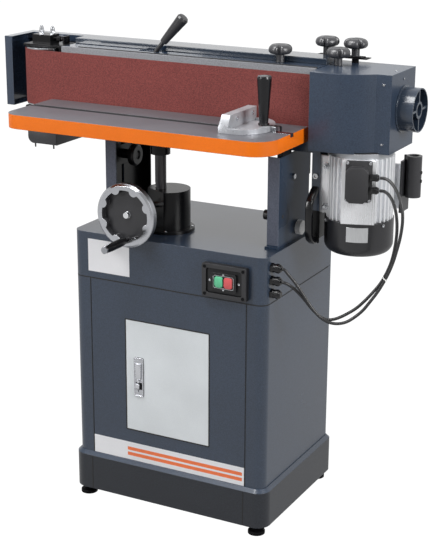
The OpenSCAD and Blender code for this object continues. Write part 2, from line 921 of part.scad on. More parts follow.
module table() {
    notch_w = flange_w + bracket_t + 4 * notch_gap;
    color("#e57a26") difference() {
        union() {
            difference() {
                translate([0, 0, table_z - table_edge]) linear_extrude(table_edge) table_plan(0);
                translate([0, 0, table_z - table_edge - over]) linear_extrude(table_edge - table_t + over)
                    table_plan(-edge_t);
            }
            translate([-column_x, -column_y, table_z - table_edge - boss_low])
                cylinder(r = boss_r, h = boss_low + table_edge - table_t + over);
            for (y = [table_y + table_d / 4, table_y + table_d / 2])
                translate([-table_left + edge_t, y - rib_t / 2, table_z - table_t - rib_h])
                    cube([table_w - 2 * edge_t, rib_t, rib_h + over]);
        }
        translate([-table_left - over, -slot_y - slot_w / 2, table_z - slot_d])
            cube([table_w + 2 * over, slot_w, slot_d + over]);
        translate([-column_x, -column_y, table_z - table_edge - boss_low - over])
            cylinder(r = column_r, h = boss_low + table_edge - table_t + over);
        for (x = [-left_x - notch_gap, right_x + notch_gap - notch_w])
            translate([x, upright_y - notch_gap, table_z - table_edge - over])
                cube([notch_w, table_back - upright_y + notch_gap + over, table_edge - table_t + over]);
    }
}

module lift_column() {
    color("#2b2c2f") difference() {
        translate([-column_x, -column_y, column_bottom]) cylinder(r = column_r, h = column_top - column_bottom);
        translate([-column_x - rack_x - gear_head - column_r, -column_y - column_r, column_bottom - over])
            cube([column_r, 2 * column_r, rack_count * gear_pitch + over]);
        for (i = [-rack_count:rack_count])
            let (z = pinion_z + i * gear_pitch)
            if (z > column_bottom && z < column_bottom + (rack_count - 1) * gear_pitch)
                translate([-column_x - rack_x, -column_y + column_r, z]) along_front()
                    linear_extrude(2 * column_r) polygon([
                        [-gear_head - over, -gear_pitch * (1 - tooth_share) / 2 * 1.2],
                        [gear_foot, -gear_pitch * (1 - tooth_share) / 2 * 0.7],
                        [gear_foot, gear_pitch * (1 - tooth_share) / 2 * 0.7],
                        [-gear_head - over, gear_pitch * (1 - tooth_share) / 2 * 1.2]]);
    }
}

module table_brackets() {
    low = stud_z - bracket_w / 2;
    arm_front = upright_y + upright_t + notch_gap;
    arm_back = -beam_y - bracket_back;
    color("#26272a") for (side = [-1, 1]) {
        inner = side < 0 ? -left_x + upright_t + free_gap : right_x - upright_t - free_gap - bracket_t;
        difference() {
            union() {
                translate([inner, arm_front, low])
                    cube([bracket_t, arm_back - arm_front, table_z - table_t - low]);
                translate([inner, arm_front, low])
                    cube([bracket_t, guide_y + bracket_w / 2 - arm_front, bracket_w]);
            }
            if (side < 0) translate([inner - over, guide_y, stud_z]) along_x()
                cylinder(r = stud_r + run_fit, h = bracket_t + 2 * over);
        }
    }
}

module table_lock_knob() {
    start = -left_x + upright_t + free_gap + bracket_t + free_gap;
    shank = 26;
    color("#232326") translate([0, guide_y, stud_z]) union() {
        translate([-left_x - stud_r, 0, 0]) along_x() cylinder(r = stud_r, h = start + left_x + stud_r + over);
        translate([start, 0, 0]) along_x() rotate_extrude() polygon([[0, 0], [knob_hub_r, 0],
            [knob_hub_r, shank - knob_hub_r / 2], [knob_disc_r, shank], [knob_disc_r, shank + knob_disc_t - 4],
            [knob_disc_r - 4, shank + knob_disc_t], [knob_hub_r, shank + knob_disc_t],
            [knob_hub_r - 4, shank + knob_disc_t - 4], [0, shank + knob_disc_t - 4]]);
    }
}

module mitre_bar() {
    color("#b9bbbe") difference() {
        union() {
            translate([mitre_x - bar_left, -slot_y - bar_w / 2, table_z - bar_t])
                cube([bar_l, bar_w, bar_t]);
            translate([mitre_x, -slot_y, table_z - over]) cylinder(r = pivot_r, h = mitre_t + over);
        }
        translate([mitre_x + arc_r, -slot_y, table_z - bar_t - over])
            cylinder(r = mitre_stud_r + run_fit, h = bar_t + 2 * over);
    }
}

// Sector of a disc about +X
module sector(r, half) {
    intersection() {
        circle(r);
        polygon([[0, 0], [2 * r * cos(half), -2 * r * sin(half)], [2 * r, -2 * r * sin(half)],
            [2 * r, 2 * r * sin(half)], [2 * r * cos(half), 2 * r * sin(half)]]);
    }
}

module mitre_head() {
    fence_front = -fence_l / 2;
    color("#c4c7cb") translate([mitre_x, -slot_y, mitre_z]) difference() {
        union() {
            linear_extrude(mitre_t) sector(mitre_r, sector_half);
            translate([fence_t / 2, 0, 0]) rotate([0, -90, 0]) linear_extrude(fence_t) polygon([
                [0, fence_front], [mitre_t, fence_front], [fence_h, fence_front + fence_slope],
                [fence_h, -fence_front - fence_in], [0, -fence_front - fence_in]]);
        }
        translate([0, 0, -over]) linear_extrude(mitre_t + 2 * over) intersection() {
            difference() {
                circle(arc_r + arc_w / 2);
                circle(arc_r - arc_w / 2);
            }
            sector(mitre_r, arc_half + slot_spare);
        }
        translate([0, 0, -over]) cylinder(r = pivot_r + run_fit, h = mitre_t + over);
        for (i = [-1, 1]) translate([-fence_t, i * fence_l / 4, mitre_t + (fence_h - mitre_t) * 0.6]) along_x()
            linear_extrude(2 * fence_t) rotate(90) long_slot(notch_r, 3 * notch_r);
    }
}

module mitre_handle() {
    low = mitre_z + mitre_t + free_gap;
    color("#1d1e20") translate([mitre_x + arc_r, -slot_y, 0]) union() {
        translate([0, 0, table_z - bar_t]) cylinder(r = mitre_stud_r, h = low - table_z + bar_t + over);
        translate([0, 0, low]) rotate_extrude() polygon([[0, 0], [handle_low_r + 3, 0], [handle_low_r + 3, 4],
            [handle_low_r, 4], [handle_r, handle_l - 6], [handle_r - 2, handle_l - 1],
            [handle_r * 0.5, handle_l], [0, handle_l]]);
    }
}

module head_beam() {
    left = idler_x - fork_left;
    color("#3a414c") difference() {
        union() {
            translate([left, -beam_y, beam_z]) cube([plate_x - left, beam_w, beam_h]);
            for (x = hinge_xs) translate([x - knuckle_w / 2 + free_gap, 0, 0]) union() {
                translate([0, hinge_y, hinge_z]) along_x()
                    cylinder(r = barrel_r, h = knuckle_w - 2 * free_gap);
                translate([0, beam_y - over, hinge_z])
                    cube([knuckle_w - 2 * free_gap, hinge_y - beam_y + over, barrel_r]);
            }
        }
        translate([left - over, -beam_y + frame_t, beam_z + frame_t])
            cube([plate_x - left + 2 * over, beam_w - 2 * frame_t, beam_h - 2 * frame_t]);
        for (x = hinge_xs) translate([x - knuckle_w, hinge_y, hinge_z]) along_x()
            cylinder(r = pin_r + run_fit, h = 2 * knuckle_w);
    }
}

module head_frame() {
    frame_l = frame_right + frame_left;
    frame_h = head_top - platen_z;
    inner_h = frame_h - 2 * frame_t;
    color("#3d4652") difference() {
        union() {
            translate([-frame_left, -frame_y, platen_z]) cube([frame_l, 2 * frame_y, frame_h]);
            translate([-frame_left, -frame_y, head_top - frame_t])
                cube([frame_l, frame_y + top_plate_back, frame_t]);
            translate([guard_knob_left_x - tab_w / 2, top_plate_back - over, head_top - frame_t])
                cube([frame_right - guard_knob_left_x + tab_w / 2, tab_back - top_plate_back + over, frame_t]);
        }
        translate([-frame_left - over, -frame_y + frame_t, platen_z + frame_t])
            cube([frame_l + 2 * over, 2 * (frame_y - frame_t), inner_h]);
        for (i = [-1.5:1:1.5]) translate([(frame_right - frame_left) / 2 + i * window_w * 1.2, 0,
            platen_z + frame_h / 2]) rotate([-90, 0, 0]) linear_extrude(2 * frame_y)
            round_rect(window_w, window_h, window_h / 4);
        translate([-lever_x, lever_y, head_top - frame_t - over]) linear_extrude(frame_t + 2 * over)
            round_rect(lever_slot, lever_slot_w, lever_slot_w / 4);
        translate([-lever_x, frame_y + over, lever_z]) along_front()
            cylinder(r = lever_pin_r + run_fit, h = 2 * frame_y + 2 * over);
        translate([platen_knob_x, platen_knob_y, head_top - frame_t - over])
            cylinder(r = stud_r + stud_fit, h = frame_t + 2 * over);
        translate([guard_knob_left_x, guard_knob_y, head_top - frame_t - over])
            cylinder(r = stud_r + stud_fit, h = frame_t + 2 * over);
    }
}

module platen() {
    color("#8d8f93") translate([-platen_left, -frame_y - platen_t, platen_z])
        cube([platen_left + frame_right - guard_t, platen_t, head_top - platen_z]);
}

// Outline of the belt's loop at one distance from the rollers' axes
module loop_plan(r) {
    union() {
        translate([idler_x, -r]) square([drum_x - idler_x, 2 * r]);
        translate([idler_x, 0]) circle(r);
        translate([drum_x, 0]) circle(r);
    }
}

module sanding_belt() {
    color("#8a4845") translate([0, 0, belt_z]) linear_extrude(belt_w) difference() {
        loop_plan(drum_r + belt_t);
        loop_plan(drum_r);
    }
}

module rear_guard() {
    low = guard_top - guard_h;
    lip_end = guard_knob_left_x - tab_w / 2 - over;
    color("#434c58") difference() {
        union() {
            translate([-guard_left, guard_back - guard_t, low])
                cube([guard_left + guard_end, guard_t, guard_h]);
            translate([-guard_left, guard_back - rail_w, guard_top - guard_t])
                cube([guard_left + guard_flange_end, rail_w, guard_t]);
            translate([-guard_left, guard_back - rail_w, guard_top - rail_lip])
                cube([guard_left + lip_end, guard_t, rail_lip]);
            translate([-guard_left, guard_front, low]) cube([guard_t, guard_back - guard_front, guard_h]);
            translate([-guard_left, guard_front, low]) cube([guard_lip, guard_t, guard_h]);
            translate([-guard_left, guard_front, guard_top - guard_t])
                cube([guard_lip, guard_back - guard_front, guard_t]);
            translate([-guard_left, guard_front, low]) cube([guard_lip, guard_back - guard_front, guard_t]);
        }
        translate([-guard_left + guard_lip, guard_back - rail_w - over, low - over])
            cube([guard_t, guard_t + 2 * over, guard_h - rail_lip]);
        for (x = [guard_knob_left_x, guard_knob_right_x])
            translate([x, guard_knob_y, guard_top - guard_t - over])
                cylinder(r = stud_r + stud_fit, h = guard_t + 2 * over);
    }
}

module guard_tabs() {
    color("#1d1e20") for (x = [guard_knob_left_x, guard_knob_right_x]) {
        seat = x == guard_knob_left_x ? head_top : hood_top;
        difference() {
            union() {
                translate([x - tab_w / 2, guard_knob_y - tab_d / 2, guard_top]) cube([tab_w, tab_d, tab_t]);
                translate([x, guard_knob_y, seat]) cylinder(r = boss_knob_r, h = guard_top - guard_t - seat);
            }
            translate([x, guard_knob_y, seat - over])
                cylinder(r = stud_r + stud_fit, h = guard_top + tab_t - seat + 2 * over);
        }
    }
}

// Plan of the hood: flat front, curved corner, flat strip, right face; shrunk by one amount
module hood_plan(shrink) {
    r = hood_r - shrink;
    strip_y = hood_cy - sqrt(pow(hood_r, 2) - pow(strip_x - hood_cx, 2));
    union() {
        translate([hood_left - (shrink > 0 ? over : 0), -hood_front + shrink])
            square([hood_cx - hood_left + (shrink > 0 ? over : 0), hood_front + hood_back - 2 * shrink]);
        intersection() {
            translate([hood_cx, hood_cy]) circle(r);
            translate([hood_cx, -hood_front]) square([strip_x - hood_cx, 2 * hood_front]);
        }
        translate([hood_cx - over, hood_cy])
            square([strip_x - hood_cx + over, hood_back - hood_cy - shrink]);
        translate([strip_x - over, strip_y + shrink])
            square([hood_right - strip_x + over - shrink, hood_back - strip_y - 2 * shrink]);
    }
}

module hood() {
    color("#434c58") difference() {
        translate([0, 0, hood_z]) linear_extrude(hood_h) hood_plan(0);
        translate([0, 0, hood_z + guard_t]) linear_extrude(hood_h - 2 * guard_t) hood_plan(guard_t);
        translate([hood_left - over, -hood_front + guard_t, hood_z - over])
            cube([hood_floor_x - hood_left + over, hood_front + hood_back - 2 * guard_t, guard_t + 2 * over]);
        translate([drum_x, 0, hood_z - over]) cylinder(r = shield_r + over, h = guard_t + 2 * over);
        translate([hood_right - guard_t - over, port_y, port_z]) along_x()
            cylinder(r = port_r - port_wall, h = guard_t + 2 * over);
        translate([hood_knob_x, hood_knob_y, hood_top - guard_t - over])
            cylinder(r = stud_r + stud_fit, h = guard_t + 2 * over);
    }
}

module dust_port() {
    color("#4a5462") translate([hood_right, port_y, port_z]) along_x() union() {
        difference() {
            union() {
                cylinder(r = port_r, h = port_l);
                cylinder(r = port_r + port_flange / 2, h = port_wall);
            }
            translate([0, 0, -over]) cylinder(r = port_r - port_wall, h = port_l + 2 * over);
        }
        translate([0, 0, port_l - 2 * port_hub_r]) difference() {
            cylinder(r = port_hub_r, h = 2 * port_hub_r - port_wall);
            translate([0, 0, -over]) cylinder(r = port_hub_r - port_wall, h = 2 * port_hub_r + over);
        }
        for (i = [0:3]) rotate(i * 90) translate([port_hub_r - port_wall / 2, -spoke_t / 2, port_l - 2 * port_hub_r])
            cube([port_r - port_hub_r - port_wall / 2, spoke_t, 2 * port_hub_r - port_wall]);
    }
}

module tension_housing() {
    mid_x = idler_x + (tension_right - tension_left) / 2;
    wide = tension_left + tension_right;
    deep = tension_back - tension_front;
    low = beam_z - tension_h;
    color("#3a424e") translate([mid_x, (tension_front + tension_back) / 2, 0]) {
        translate([0, 0, low]) difference() {
            linear_extrude(tension_h) round_rect(wide, deep, tension_r);
            translate([0, 0, tension_wall]) linear_extrude(tension_h)
                round_rect(wide - 2 * tension_wall, deep - 2 * tension_wall, tension_r - tension_wall);
        }
        for (i = [-1, 1]) translate([i * tension_stud_at, -deep / 2 + tension_r, low - tension_stud_l])
            cylinder(r = tension_stud_r, h = tension_stud_l);
    }
}

module motor_plate() {
    color("#3d4652") union() {
        translate([plate_x, -plate_half, plate_low]) cube([plate_t, 2 * plate_half, platen_z - plate_low]);
        translate([plate_x, -plate_half, plate_low]) cube([plate_lip, plate_t, hood_z - plate_low - over]);
    }
}

// Finned section of the motor body, with a flat seat for the terminal box and a foot on the left
module motor_plan() {
    union() {
        circle(core_r);
        for (i = [0:fin_count - 1]) rotate(i * 360 / fin_count) translate([0, -fin_t / 2])
            square([motor_r, fin_t]);
        rotate(terminal_turn) translate([-seat_w / 2, -motor_r - fin_t]) square([seat_w, motor_r]);
    }
}

module motor_body() {
    foot_x = plate_x + plate_t;
    color("#c3c6ca") difference() {
        union() {
            translate([drum_x, 0, motor_z]) linear_extrude(motor_l - shield_t) motor_plan();
            translate([drum_x, 0, motor_top - shield_t]) cylinder(r = shield_r, h = shield_t + guard_t);
            for (i = [-1, 1]) translate([foot_x, i * foot_y - foot_w / 2, motor_z + foot_end])
                union() {
                    cube([foot_t, foot_w, motor_l - 2 * foot_end]);
                    translate([0, i > 0 ? 0 : foot_w - foot_t, 0])
                        cube([drum_x - foot_x - core_r / 2, foot_t, motor_l - 2 * foot_end]);
                }
            translate([drum_x + core_r / 2, tube_y - pad_depth, motor_z + foot_end])
                cube([tube_plate_x - drum_x - core_r / 2, pad_depth / 2, motor_l - 4 * foot_end]);
        }
        translate([drum_x, 0, motor_z - over]) cylinder(r = shaft_r + run_fit, h = motor_l + guard_t + 2 * over);
        translate([drum_x, 0, motor_z + end_t]) cylinder(r = cavity_r, h = motor_l - shield_t - 2 * end_t);
    }
}

module fan_cover() {
    round_r = 26;
    wall = guard_t;
    color("#1b1c1e") translate([drum_x, 0, fan_z]) difference() {
        union() {
            translate([0, 0, round_r]) cylinder(r = fan_r, h = fan_l - round_r);
            cylinder(r = fan_r - round_r, h = round_r + over);
            translate([0, 0, round_r]) rotate_extrude() translate([fan_r - round_r, 0]) circle(round_r);
        }
        translate([0, 0, round_r]) cylinder(r = fan_r - wall, h = fan_l);
        translate([0, 0, wall]) cylinder(r = fan_r - round_r, h = round_r + over);
        translate([0, 0, fan_l - fan_over]) cylinder(r = fan_r + over, h = fan_over + over);
        for (ring = [1:3], i = [0:11]) rotate(i * 30) translate([ring * fan_r / 4.6, -ring * fan_r / 30, -over])
            cube([fan_r / 8, ring * fan_r / 15, wall + 2 * over]);
    }
    color("#1b1c1e") difference() {
        translate([drum_x, 0, motor_z - guard_t]) cylinder(r = fan_r, h = guard_t);
        translate([drum_x, 0, motor_z - guard_t - over]) cylinder(r = shaft_r + over, h = guard_t + 2 * over);
    }
}

// Places children on the terminal box's seat: x to its right, y up the motor, z out of it
module on_terminal() {
    translate([drum_x, 0, motor_top - shield_t - terminal_out - terminal_h / 2]) rotate(terminal_turn)
        translate([0, -motor_r - fin_t, 0]) along_front() children();
}

// Rectangle with cut corners about its middle
module cut_rect(x, y, cut) {
    polygon([[-x / 2 + cut, -y / 2], [x / 2 - cut, -y / 2], [x / 2, -y / 2 + cut], [x / 2, y / 2 - cut],
        [x / 2 - cut, y / 2], [-x / 2 + cut, y / 2], [-x / 2, y / 2 - cut], [-x / 2, -y / 2 + cut]]);
}

module terminal_box() {
    color("#26272a") on_terminal() union() {
        linear_extrude(terminal_base) round_rect(terminal_w + lid_in, terminal_h, lid_in);
        translate([0, 0, terminal_base]) linear_extrude(terminal_d - terminal_base - lid_t)
            cut_rect(terminal_w, terminal_h - 2 * lid_in, lid_cut / 2);
        translate([0, 0, terminal_d - lid_t]) linear_extrude(lid_t)
            cut_rect(terminal_w - lid_in, terminal_h - 3 * lid_in, lid_cut);
    }
}

// Cable gland along +Z: hexagon, collar and dome
module gland(r, l, hex) {
    cylinder(r = r, h = hex / 2, $fn = 6);
    translate([0, 0, hex / 2]) cylinder(r = r * 0.86, h = hex / 2);
    translate([0, 0, hex]) rotate_extrude() polygon([[0, 0], [r * 0.95, 0], [r * 0.95, (l - hex) / 2],
        [r * 0.6, l - hex], [0, l - hex]]);
}

module motor_glands() {
    color("#1c1d1f") on_terminal() for (i = [0, 1])
        translate([terminal_w / 2, motor_gland_up + (0.5 - i) * motor_gland_pitch, terminal_base + motor_gland_r])
            along_x() gland(motor_gland_r, motor_gland_l, motor_gland_hex);
}

module stand_glands() {
    color("#1c1d1f") for (i = [0:2]) translate([right_face, gland_y, gland_top - i * gland_pitch]) along_x()
        gland(gland_r, gland_l, gland_hex);
}

// Hexagon bolt head along +Z
module bolt_head() {
    cylinder(r = bolt_head_r, h = bolt_head_t, $fn = 6);
}

module stand_fasteners() {
    base_hole = base_w - 2 * bolt_head_r;
    color("#b5b8bc") {
        for (y = [upright_y + upright_d / 4, upright_y + upright_d * 3 / 4]) {
            translate([-left_x + base_hole, y, top_z + base_t]) bolt_head();
            translate([right_x - base_hole, y, top_z + base_t]) bolt_head();
        }
        for (i = [0:3]) translate([housing_x, housing_y, top_z + housing_base_t]) rotate(i * 90 + 20)
            translate([(housing_r + housing_base_r) / 2, 0, 0]) cylinder(r = screw_r, h = screw_r);
        translate([right_x, web_bolt_y, stud_z - stud_r]) along_x() bolt_head();
        translate([right_x - upright_t, web_bolt_y, stud_z - stud_r]) along_x() cylinder(r = stud_r, h = upright_t);
    }
}

module head_fasteners() {
    foot_x = plate_x + plate_t + foot_t;
    strip_y = hood_cy - sqrt(pow(hood_r, 2) - pow(strip_x - hood_cx, 2));
    color("#c2c5c9") {
        for (i = [-1, 1], z = [motor_z + motor_l * 0.26, motor_z + motor_l * 0.78])
            translate([foot_x, i * (foot_y + foot_t / 2), z]) along_x() bolt_head();
        for (z = [hood_z + hood_h / 8, hood_top - hood_h / 8])
            translate([(strip_x + hood_right) / 2, strip_y, z]) along_front() cylinder(r = screw_r, h = screw_r / 2);
        translate([hood_right, hood_front / 3, hood_top - hood_h / 10]) along_x()
            cylinder(r = screw_r, h = screw_r / 2);
        translate([hood_right - hood_front / 6, hood_front / 5, hood_top]) cylinder(r = screw_r, h = screw_r / 2);
    }
}

module switch_plate() {
    color("#202124") difference() {
        union() {
            translate([switch_x, front_y, switch_z]) along_front() linear_extrude(switch_t)
                round_rect(switch_w, switch_h, screw_r);
            translate([switch_x, switch_face, switch_z]) along_front() linear_extrude(bezel_t)
                round_rect(2 * button_w + button_apart + 2 * bezel_out, button_h + 2 * bezel_out, screw_r);
        }
        for (i = [-1, 1])
            translate([switch_x + i * (button_w + button_apart) / 2 - button_w / 2 - button_gap,
                switch_face - bezel_t - over, switch_z - button_h / 2 - button_gap])
                cube([button_w + 2 * button_gap, switch_t + over, button_h + 2 * button_gap]);
        for (i = [-1, 1], j = [-1, 1])
            translate([switch_x + i * (switch_w / 2 - 3 * screw_r), switch_face + screw_r,
                switch_z + j * (switch_h / 2 - 3 * screw_r)]) along_front() cylinder(r = screw_r, h = 2 * screw_r);
    }
}

// One push button; side is -1 for start, 1 for stop
module push_button(side) {
    reach = switch_t + button_proud - button_travel - 2 * over;
    translate([switch_x + side * (button_w + button_apart) / 2 - button_w / 2, switch_face - bezel_t - button_proud,
        switch_z - button_h / 2]) cube([button_w, reach, button_h]);
}

module start_button() { color("#2f9a4a") push_button(-1); }

module stop_button() { color("#c8322d") push_button(1); }

module pull_handle() {
    color("#1f2023") translate([plate_x + (plate_lip - bow_w) / 2, -plate_half, bow_z + bow_h / 2])
        rotate([0, 90, 0]) linear_extrude(bow_w) intersection() {
            difference() {
                round_rect(bow_h, 2 * bow_out, bow_r);
                round_rect(bow_h - 2 * bow_t, 2 * (bow_out - bow_t), bow_r - bow_t / 2);
            }
            translate([-bow_h, -2 * bow_out]) square([2 * bow_h, 2 * bow_out]);
        }
}

module accessory_tube() {
    color("#1f2023") difference() {
        union() {
            translate([tube_x, tube_y, tube_z]) cylinder(r = tube_r, h = tube_l);
            translate([tube_plate_x, tube_y - tube_plate_w / 2, tube_z - tube_drop])
                cube([tube_plate_t, tube_plate_w, tube_plate_h]);
            translate([tube_plate_x, tube_y - tube_plate_t / 2, tube_z])
                cube([tube_plate_t + tube_r / 2, tube_plate_t, tube_l]);
        }
        translate([tube_x, tube_y, tube_z - over]) cylinder(r = tube_bore, h = tube_l + 2 * over);
        for (z = [0.4, 0.6]) translate([tube_x, tube_y, tube_z + tube_l * z]) along_x()
            cylinder(r = set_screw_r, h = 2 * tube_r);
    }
}

// Star knob standing on its seat, with its stud going down into it
module star_knob() {
    lobe_cut = star_r / 3;
    union() {
        translate([0, 0, -stud_l]) cylinder(r = stud_r, h = stud_l + over);
        translate([0, 0, free_gap]) cylinder(r = stem_r, h = stem_h);
        translate([0, 0, stem_h]) intersection() {
            linear_extrude(star_h) difference() {
                circle(star_r);
                for (i = [0:3]) rotate(i * 90 + 20) translate([star_r, 0]) circle(lobe_cut);
            }
            rotate_extrude() polygon([[0, 0], [star_r * 0.7, 0], [star_r * 0.93, star_h * 0.16],
                [star_r, star_h * 0.42], [star_r * 0.95, star_h * 0.7], [star_r * 0.75, star_h * 0.92],
                [star_r * 0.4, star_h], [0, star_h]]);
        }
    }
}

module platen_knob() { color("#2a2b2e") translate([platen_knob_x, platen_knob_y, head_top]) star_knob(); }

module hood_knob() { color("#2a2b2e") translate([hood_knob_x, hood_knob_y, hood_top]) star_knob(); }

module guard_knob_left() {
    color("#2a2b2e") translate([guard_knob_left_x, guard_knob_y, guard_top + tab_t]) star_knob();
}

module guard_knob_right() {
    color("#2a2b2e") translate([guard_knob_right_x, guard_knob_y, guard_top + tab_t]) star_knob();
}

module idler_fork() {
    fork_l = fork_left + fork_right;
    color("#26272a") difference() {
        union() {
            translate([idler_x - fork_left, -fork_half, fork_z]) cube([fork_l, 2 * fork_half, fork_t]);
            translate([idler_x - fork_left, -fork_half, fork_top]) cube([fork_l, 2 * fork_half, fork_t]);
            translate([idler_x + fork_right - fork_web, -fork_half, fork_z])
                cube([fork_web, 2 * fork_half, fork_top - fork_z + fork_t]);
            translate([idler_x + fork_right, 0, rod_z]) along_x()
                cylinder(r = rod_r, h = -lever_x - rod_end - idler_x - fork_right);
            translate([idler_x + fork_right - track_plate_t - fork_web, -track_plate_half, fork_top])
                cube([track_plate_t, 2 * track_plate_half, fork_t + track_plate_h]);
        }
        translate([idler_x, 0, fork_z - over]) cylinder(r = axle_r, h = fork_top - fork_z + fork_t + 2 * over);
        translate([idler_x + fork_right, 0, track_z]) rotate([0, -90, 0])
            cylinder(r = track_r, h = 2 * (track_plate_t + fork_web));
    }
}

module axle_block() {
    low = fork_top + fork_t;
    color("#2c2d30") difference() {
        translate([idler_x - block_left, -block_half, low])
            cube([block_left + block_right, 2 * block_half, block_h]);
        translate([idler_x, 0, low - over]) cylinder(r = axle_r, h = block_h / 2 + over);
    }
}

module idler_axle() {
    low = fork_top + fork_t;
    reach = fork_right - fork_web - block_right;
    color("#b9bbbe") {
        translate([idler_x + block_right, 0, track_z]) along_x() union() {
            cylinder(r = track_r, h = reach);
            translate([0, 0, reach / 4]) cylinder(r = track_nut_r, h = track_nut_t, $fn = 6);
            translate([0, 0, reach / 4 + track_nut_t + over])
                cylinder(r = track_nut_r, h = track_nut_t / 2, $fn = 6);
        }
        translate([idler_x, 0, fork_z]) cylinder(r = axle_r, h = low - fork_z + block_h / 2);
        for (i = [-1, 1]) translate([idler_x + i * nut_apart, 0, low + block_h]) union() {
            cylinder(r = nut_r, h = nut_t, $fn = 6);
            translate([0, 0, nut_t]) rotate_extrude() polygon([[0, 0], [nut_r * 0.85, 0], [nut_r * 0.8, nut_t * 0.8],
                [nut_r * 0.5, nut_t * 1.4], [0, nut_t * 1.6]]);
        }
    }
}

module idler_roller() {
    color("#a9abae") translate([idler_x, 0, roller_low]) difference() {
        cylinder(r = drum_r - roller_fit, h = roller_h);
        translate([0, 0, roller_h - 2 * fork_t]) difference() {
            cylinder(r = drum_r - 2 * fork_t, h = 2 * fork_t + over);
            translate([0, 0, -over]) cylinder(r = 2 * axle_r, h = 2 * fork_t + 2 * over);
        }
        translate([0, 0, -over]) cylinder(r = axle_r + run_fit, h = roller_h + 2 * over);
    }
}

module tension_lever() {
    color("#232427") union() {
        translate([-lever_x, frame_y, lever_z]) along_front() cylinder(r = lever_pin_r, h = 2 * frame_y);
        translate([-lever_x, lever_y + lever_rod_r * 1.5, lever_z]) along_front()
            cylinder(r = hub_lever_r, h = lever_rod_r * 3);
        translate([-lever_x, lever_y, lever_z]) rotate([0, lever_lean, 0]) union() {
            cylinder(r = lever_rod_r, h = lever_rod_l + over);
            translate([0, 0, lever_rod_l]) rotate_extrude() polygon([[0, 0], [lever_thin_r, 0],
                [lever_wide_r, lever_grip - 6], [lever_wide_r - 3, lever_grip - 1],
                [lever_wide_r / 2, lever_grip], [0, lever_grip]]);
        }
    }
}

module drive_drum() {
    color("#3a3b3e") translate([drum_x, 0, roller_low]) difference() {
        cylinder(r = drum_r - roller_fit, h = roller_h);
        translate([0, 0, -over]) cylinder(r = shaft_r, h = roller_h + 2 * over);
    }
}

module motor_rotor() {
    fan_low = motor_z - guard_t - fan_blade_h - 2 * over;
    color("#8f9296") union() {
        translate([drum_x, 0, fan_low - fan_blade_t]) cylinder(r = shaft_r, h = roller_low + roller_h - fan_low + fan_blade_t);
        translate([drum_x, 0, motor_z + end_t + fan_over]) cylinder(r = rotor_r, h = motor_l - shield_t - 2 * end_t - 2 * fan_over);
        translate([drum_x, 0, fan_low - fan_blade_t]) cylinder(r = fan_blade_r, h = fan_blade_t);
        for (i = [0:fan_blades - 1]) translate([drum_x, 0, fan_low - over]) rotate(i * 360 / fan_blades)
            translate([shaft_r - over, -fan_blade_t / 2, 0]) cube([fan_blade_r - shaft_r, fan_blade_t, fan_blade_h]);
    }
}

// Direction of a route at one of its points
function heading(route, i) =
    let (a = route[max(i - 1, 0)], b = route[min(i + 1, len(route) - 1)]) (b - a) / norm(b - a);

// Ring of points round a route's point, square to its heading
function ring_points(route, i, r) =
    let (d = heading(route, i), side = cross([0, 1, 0], d), u = side / norm(side), v = cross(d, u))
    [for (k = [0:cable_sides - 1]) let (turn = k * 360 / cable_sides)
        route[i] + r * (cos(turn) * u + sin(turn) * v)];

// Tube of one radius along a route, as one closed solid of triangles
module cable(route, r) {
    count = len(route);
    points = [for (i = [0:count - 1]) each ring_points(route, i, r)];
    sides = [for (i = [0:count - 2], k = [0:cable_sides - 1], t = [0, 1])
        let (n = (k + 1) % cable_sides, a = i * cable_sides, b = a + cable_sides)
        t == 0 ? [a + k, b + k, a + n] : [a + n, b + k, b + n]];
    start = [for (k = [1:cable_sides - 2]) [0, k, k + 1]];
    last = (count - 1) * cable_sides;
    end = [for (k = [1:cable_sides - 2]) [last, last + k + 1, last + k]];
    polyhedron(points, concat(sides, start, end));
}

module cable_upper() { color("#18191b") cable(upper_route, cable_r); }

module cable_lower() { color("#18191b") cable(lower_route, cable_r); }

plinth();
cabinet_body();
front_panel();
top_box();
levelling_feet();
left_upright();
right_upright();
hinge_brackets();
hinge_pins();
stop_pad();
lift_housing();
stand_fasteners();
switch_plate();
stand_glands();
start_button();
stop_button();
door();
door_lock();
lock_lever();
tilt_lock_knob();
pinion_shaft();
handwheel();
crank_grip();
table();
lift_column();
table_brackets();
table_lock_knob();
mitre_bar();
mitre_head();
mitre_handle();
head_beam();
head_frame();
platen();
sanding_belt();
rear_guard();
guard_tabs();
hood();
dust_port();
tension_housing();
motor_plate();
motor_body();
fan_cover();
terminal_box();
motor_glands();
head_fasteners();
pull_handle();
accessory_tube();
platen_knob();
hood_knob();
guard_knob_left();
guard_knob_right();
idler_fork();
axle_block();
idler_axle();
idler_roller();
tension_lever();
drive_drum();
motor_rotor();
cable_upper();
cable_lower();
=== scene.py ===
import math

import bmesh
import bpy
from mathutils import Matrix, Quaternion, Vector


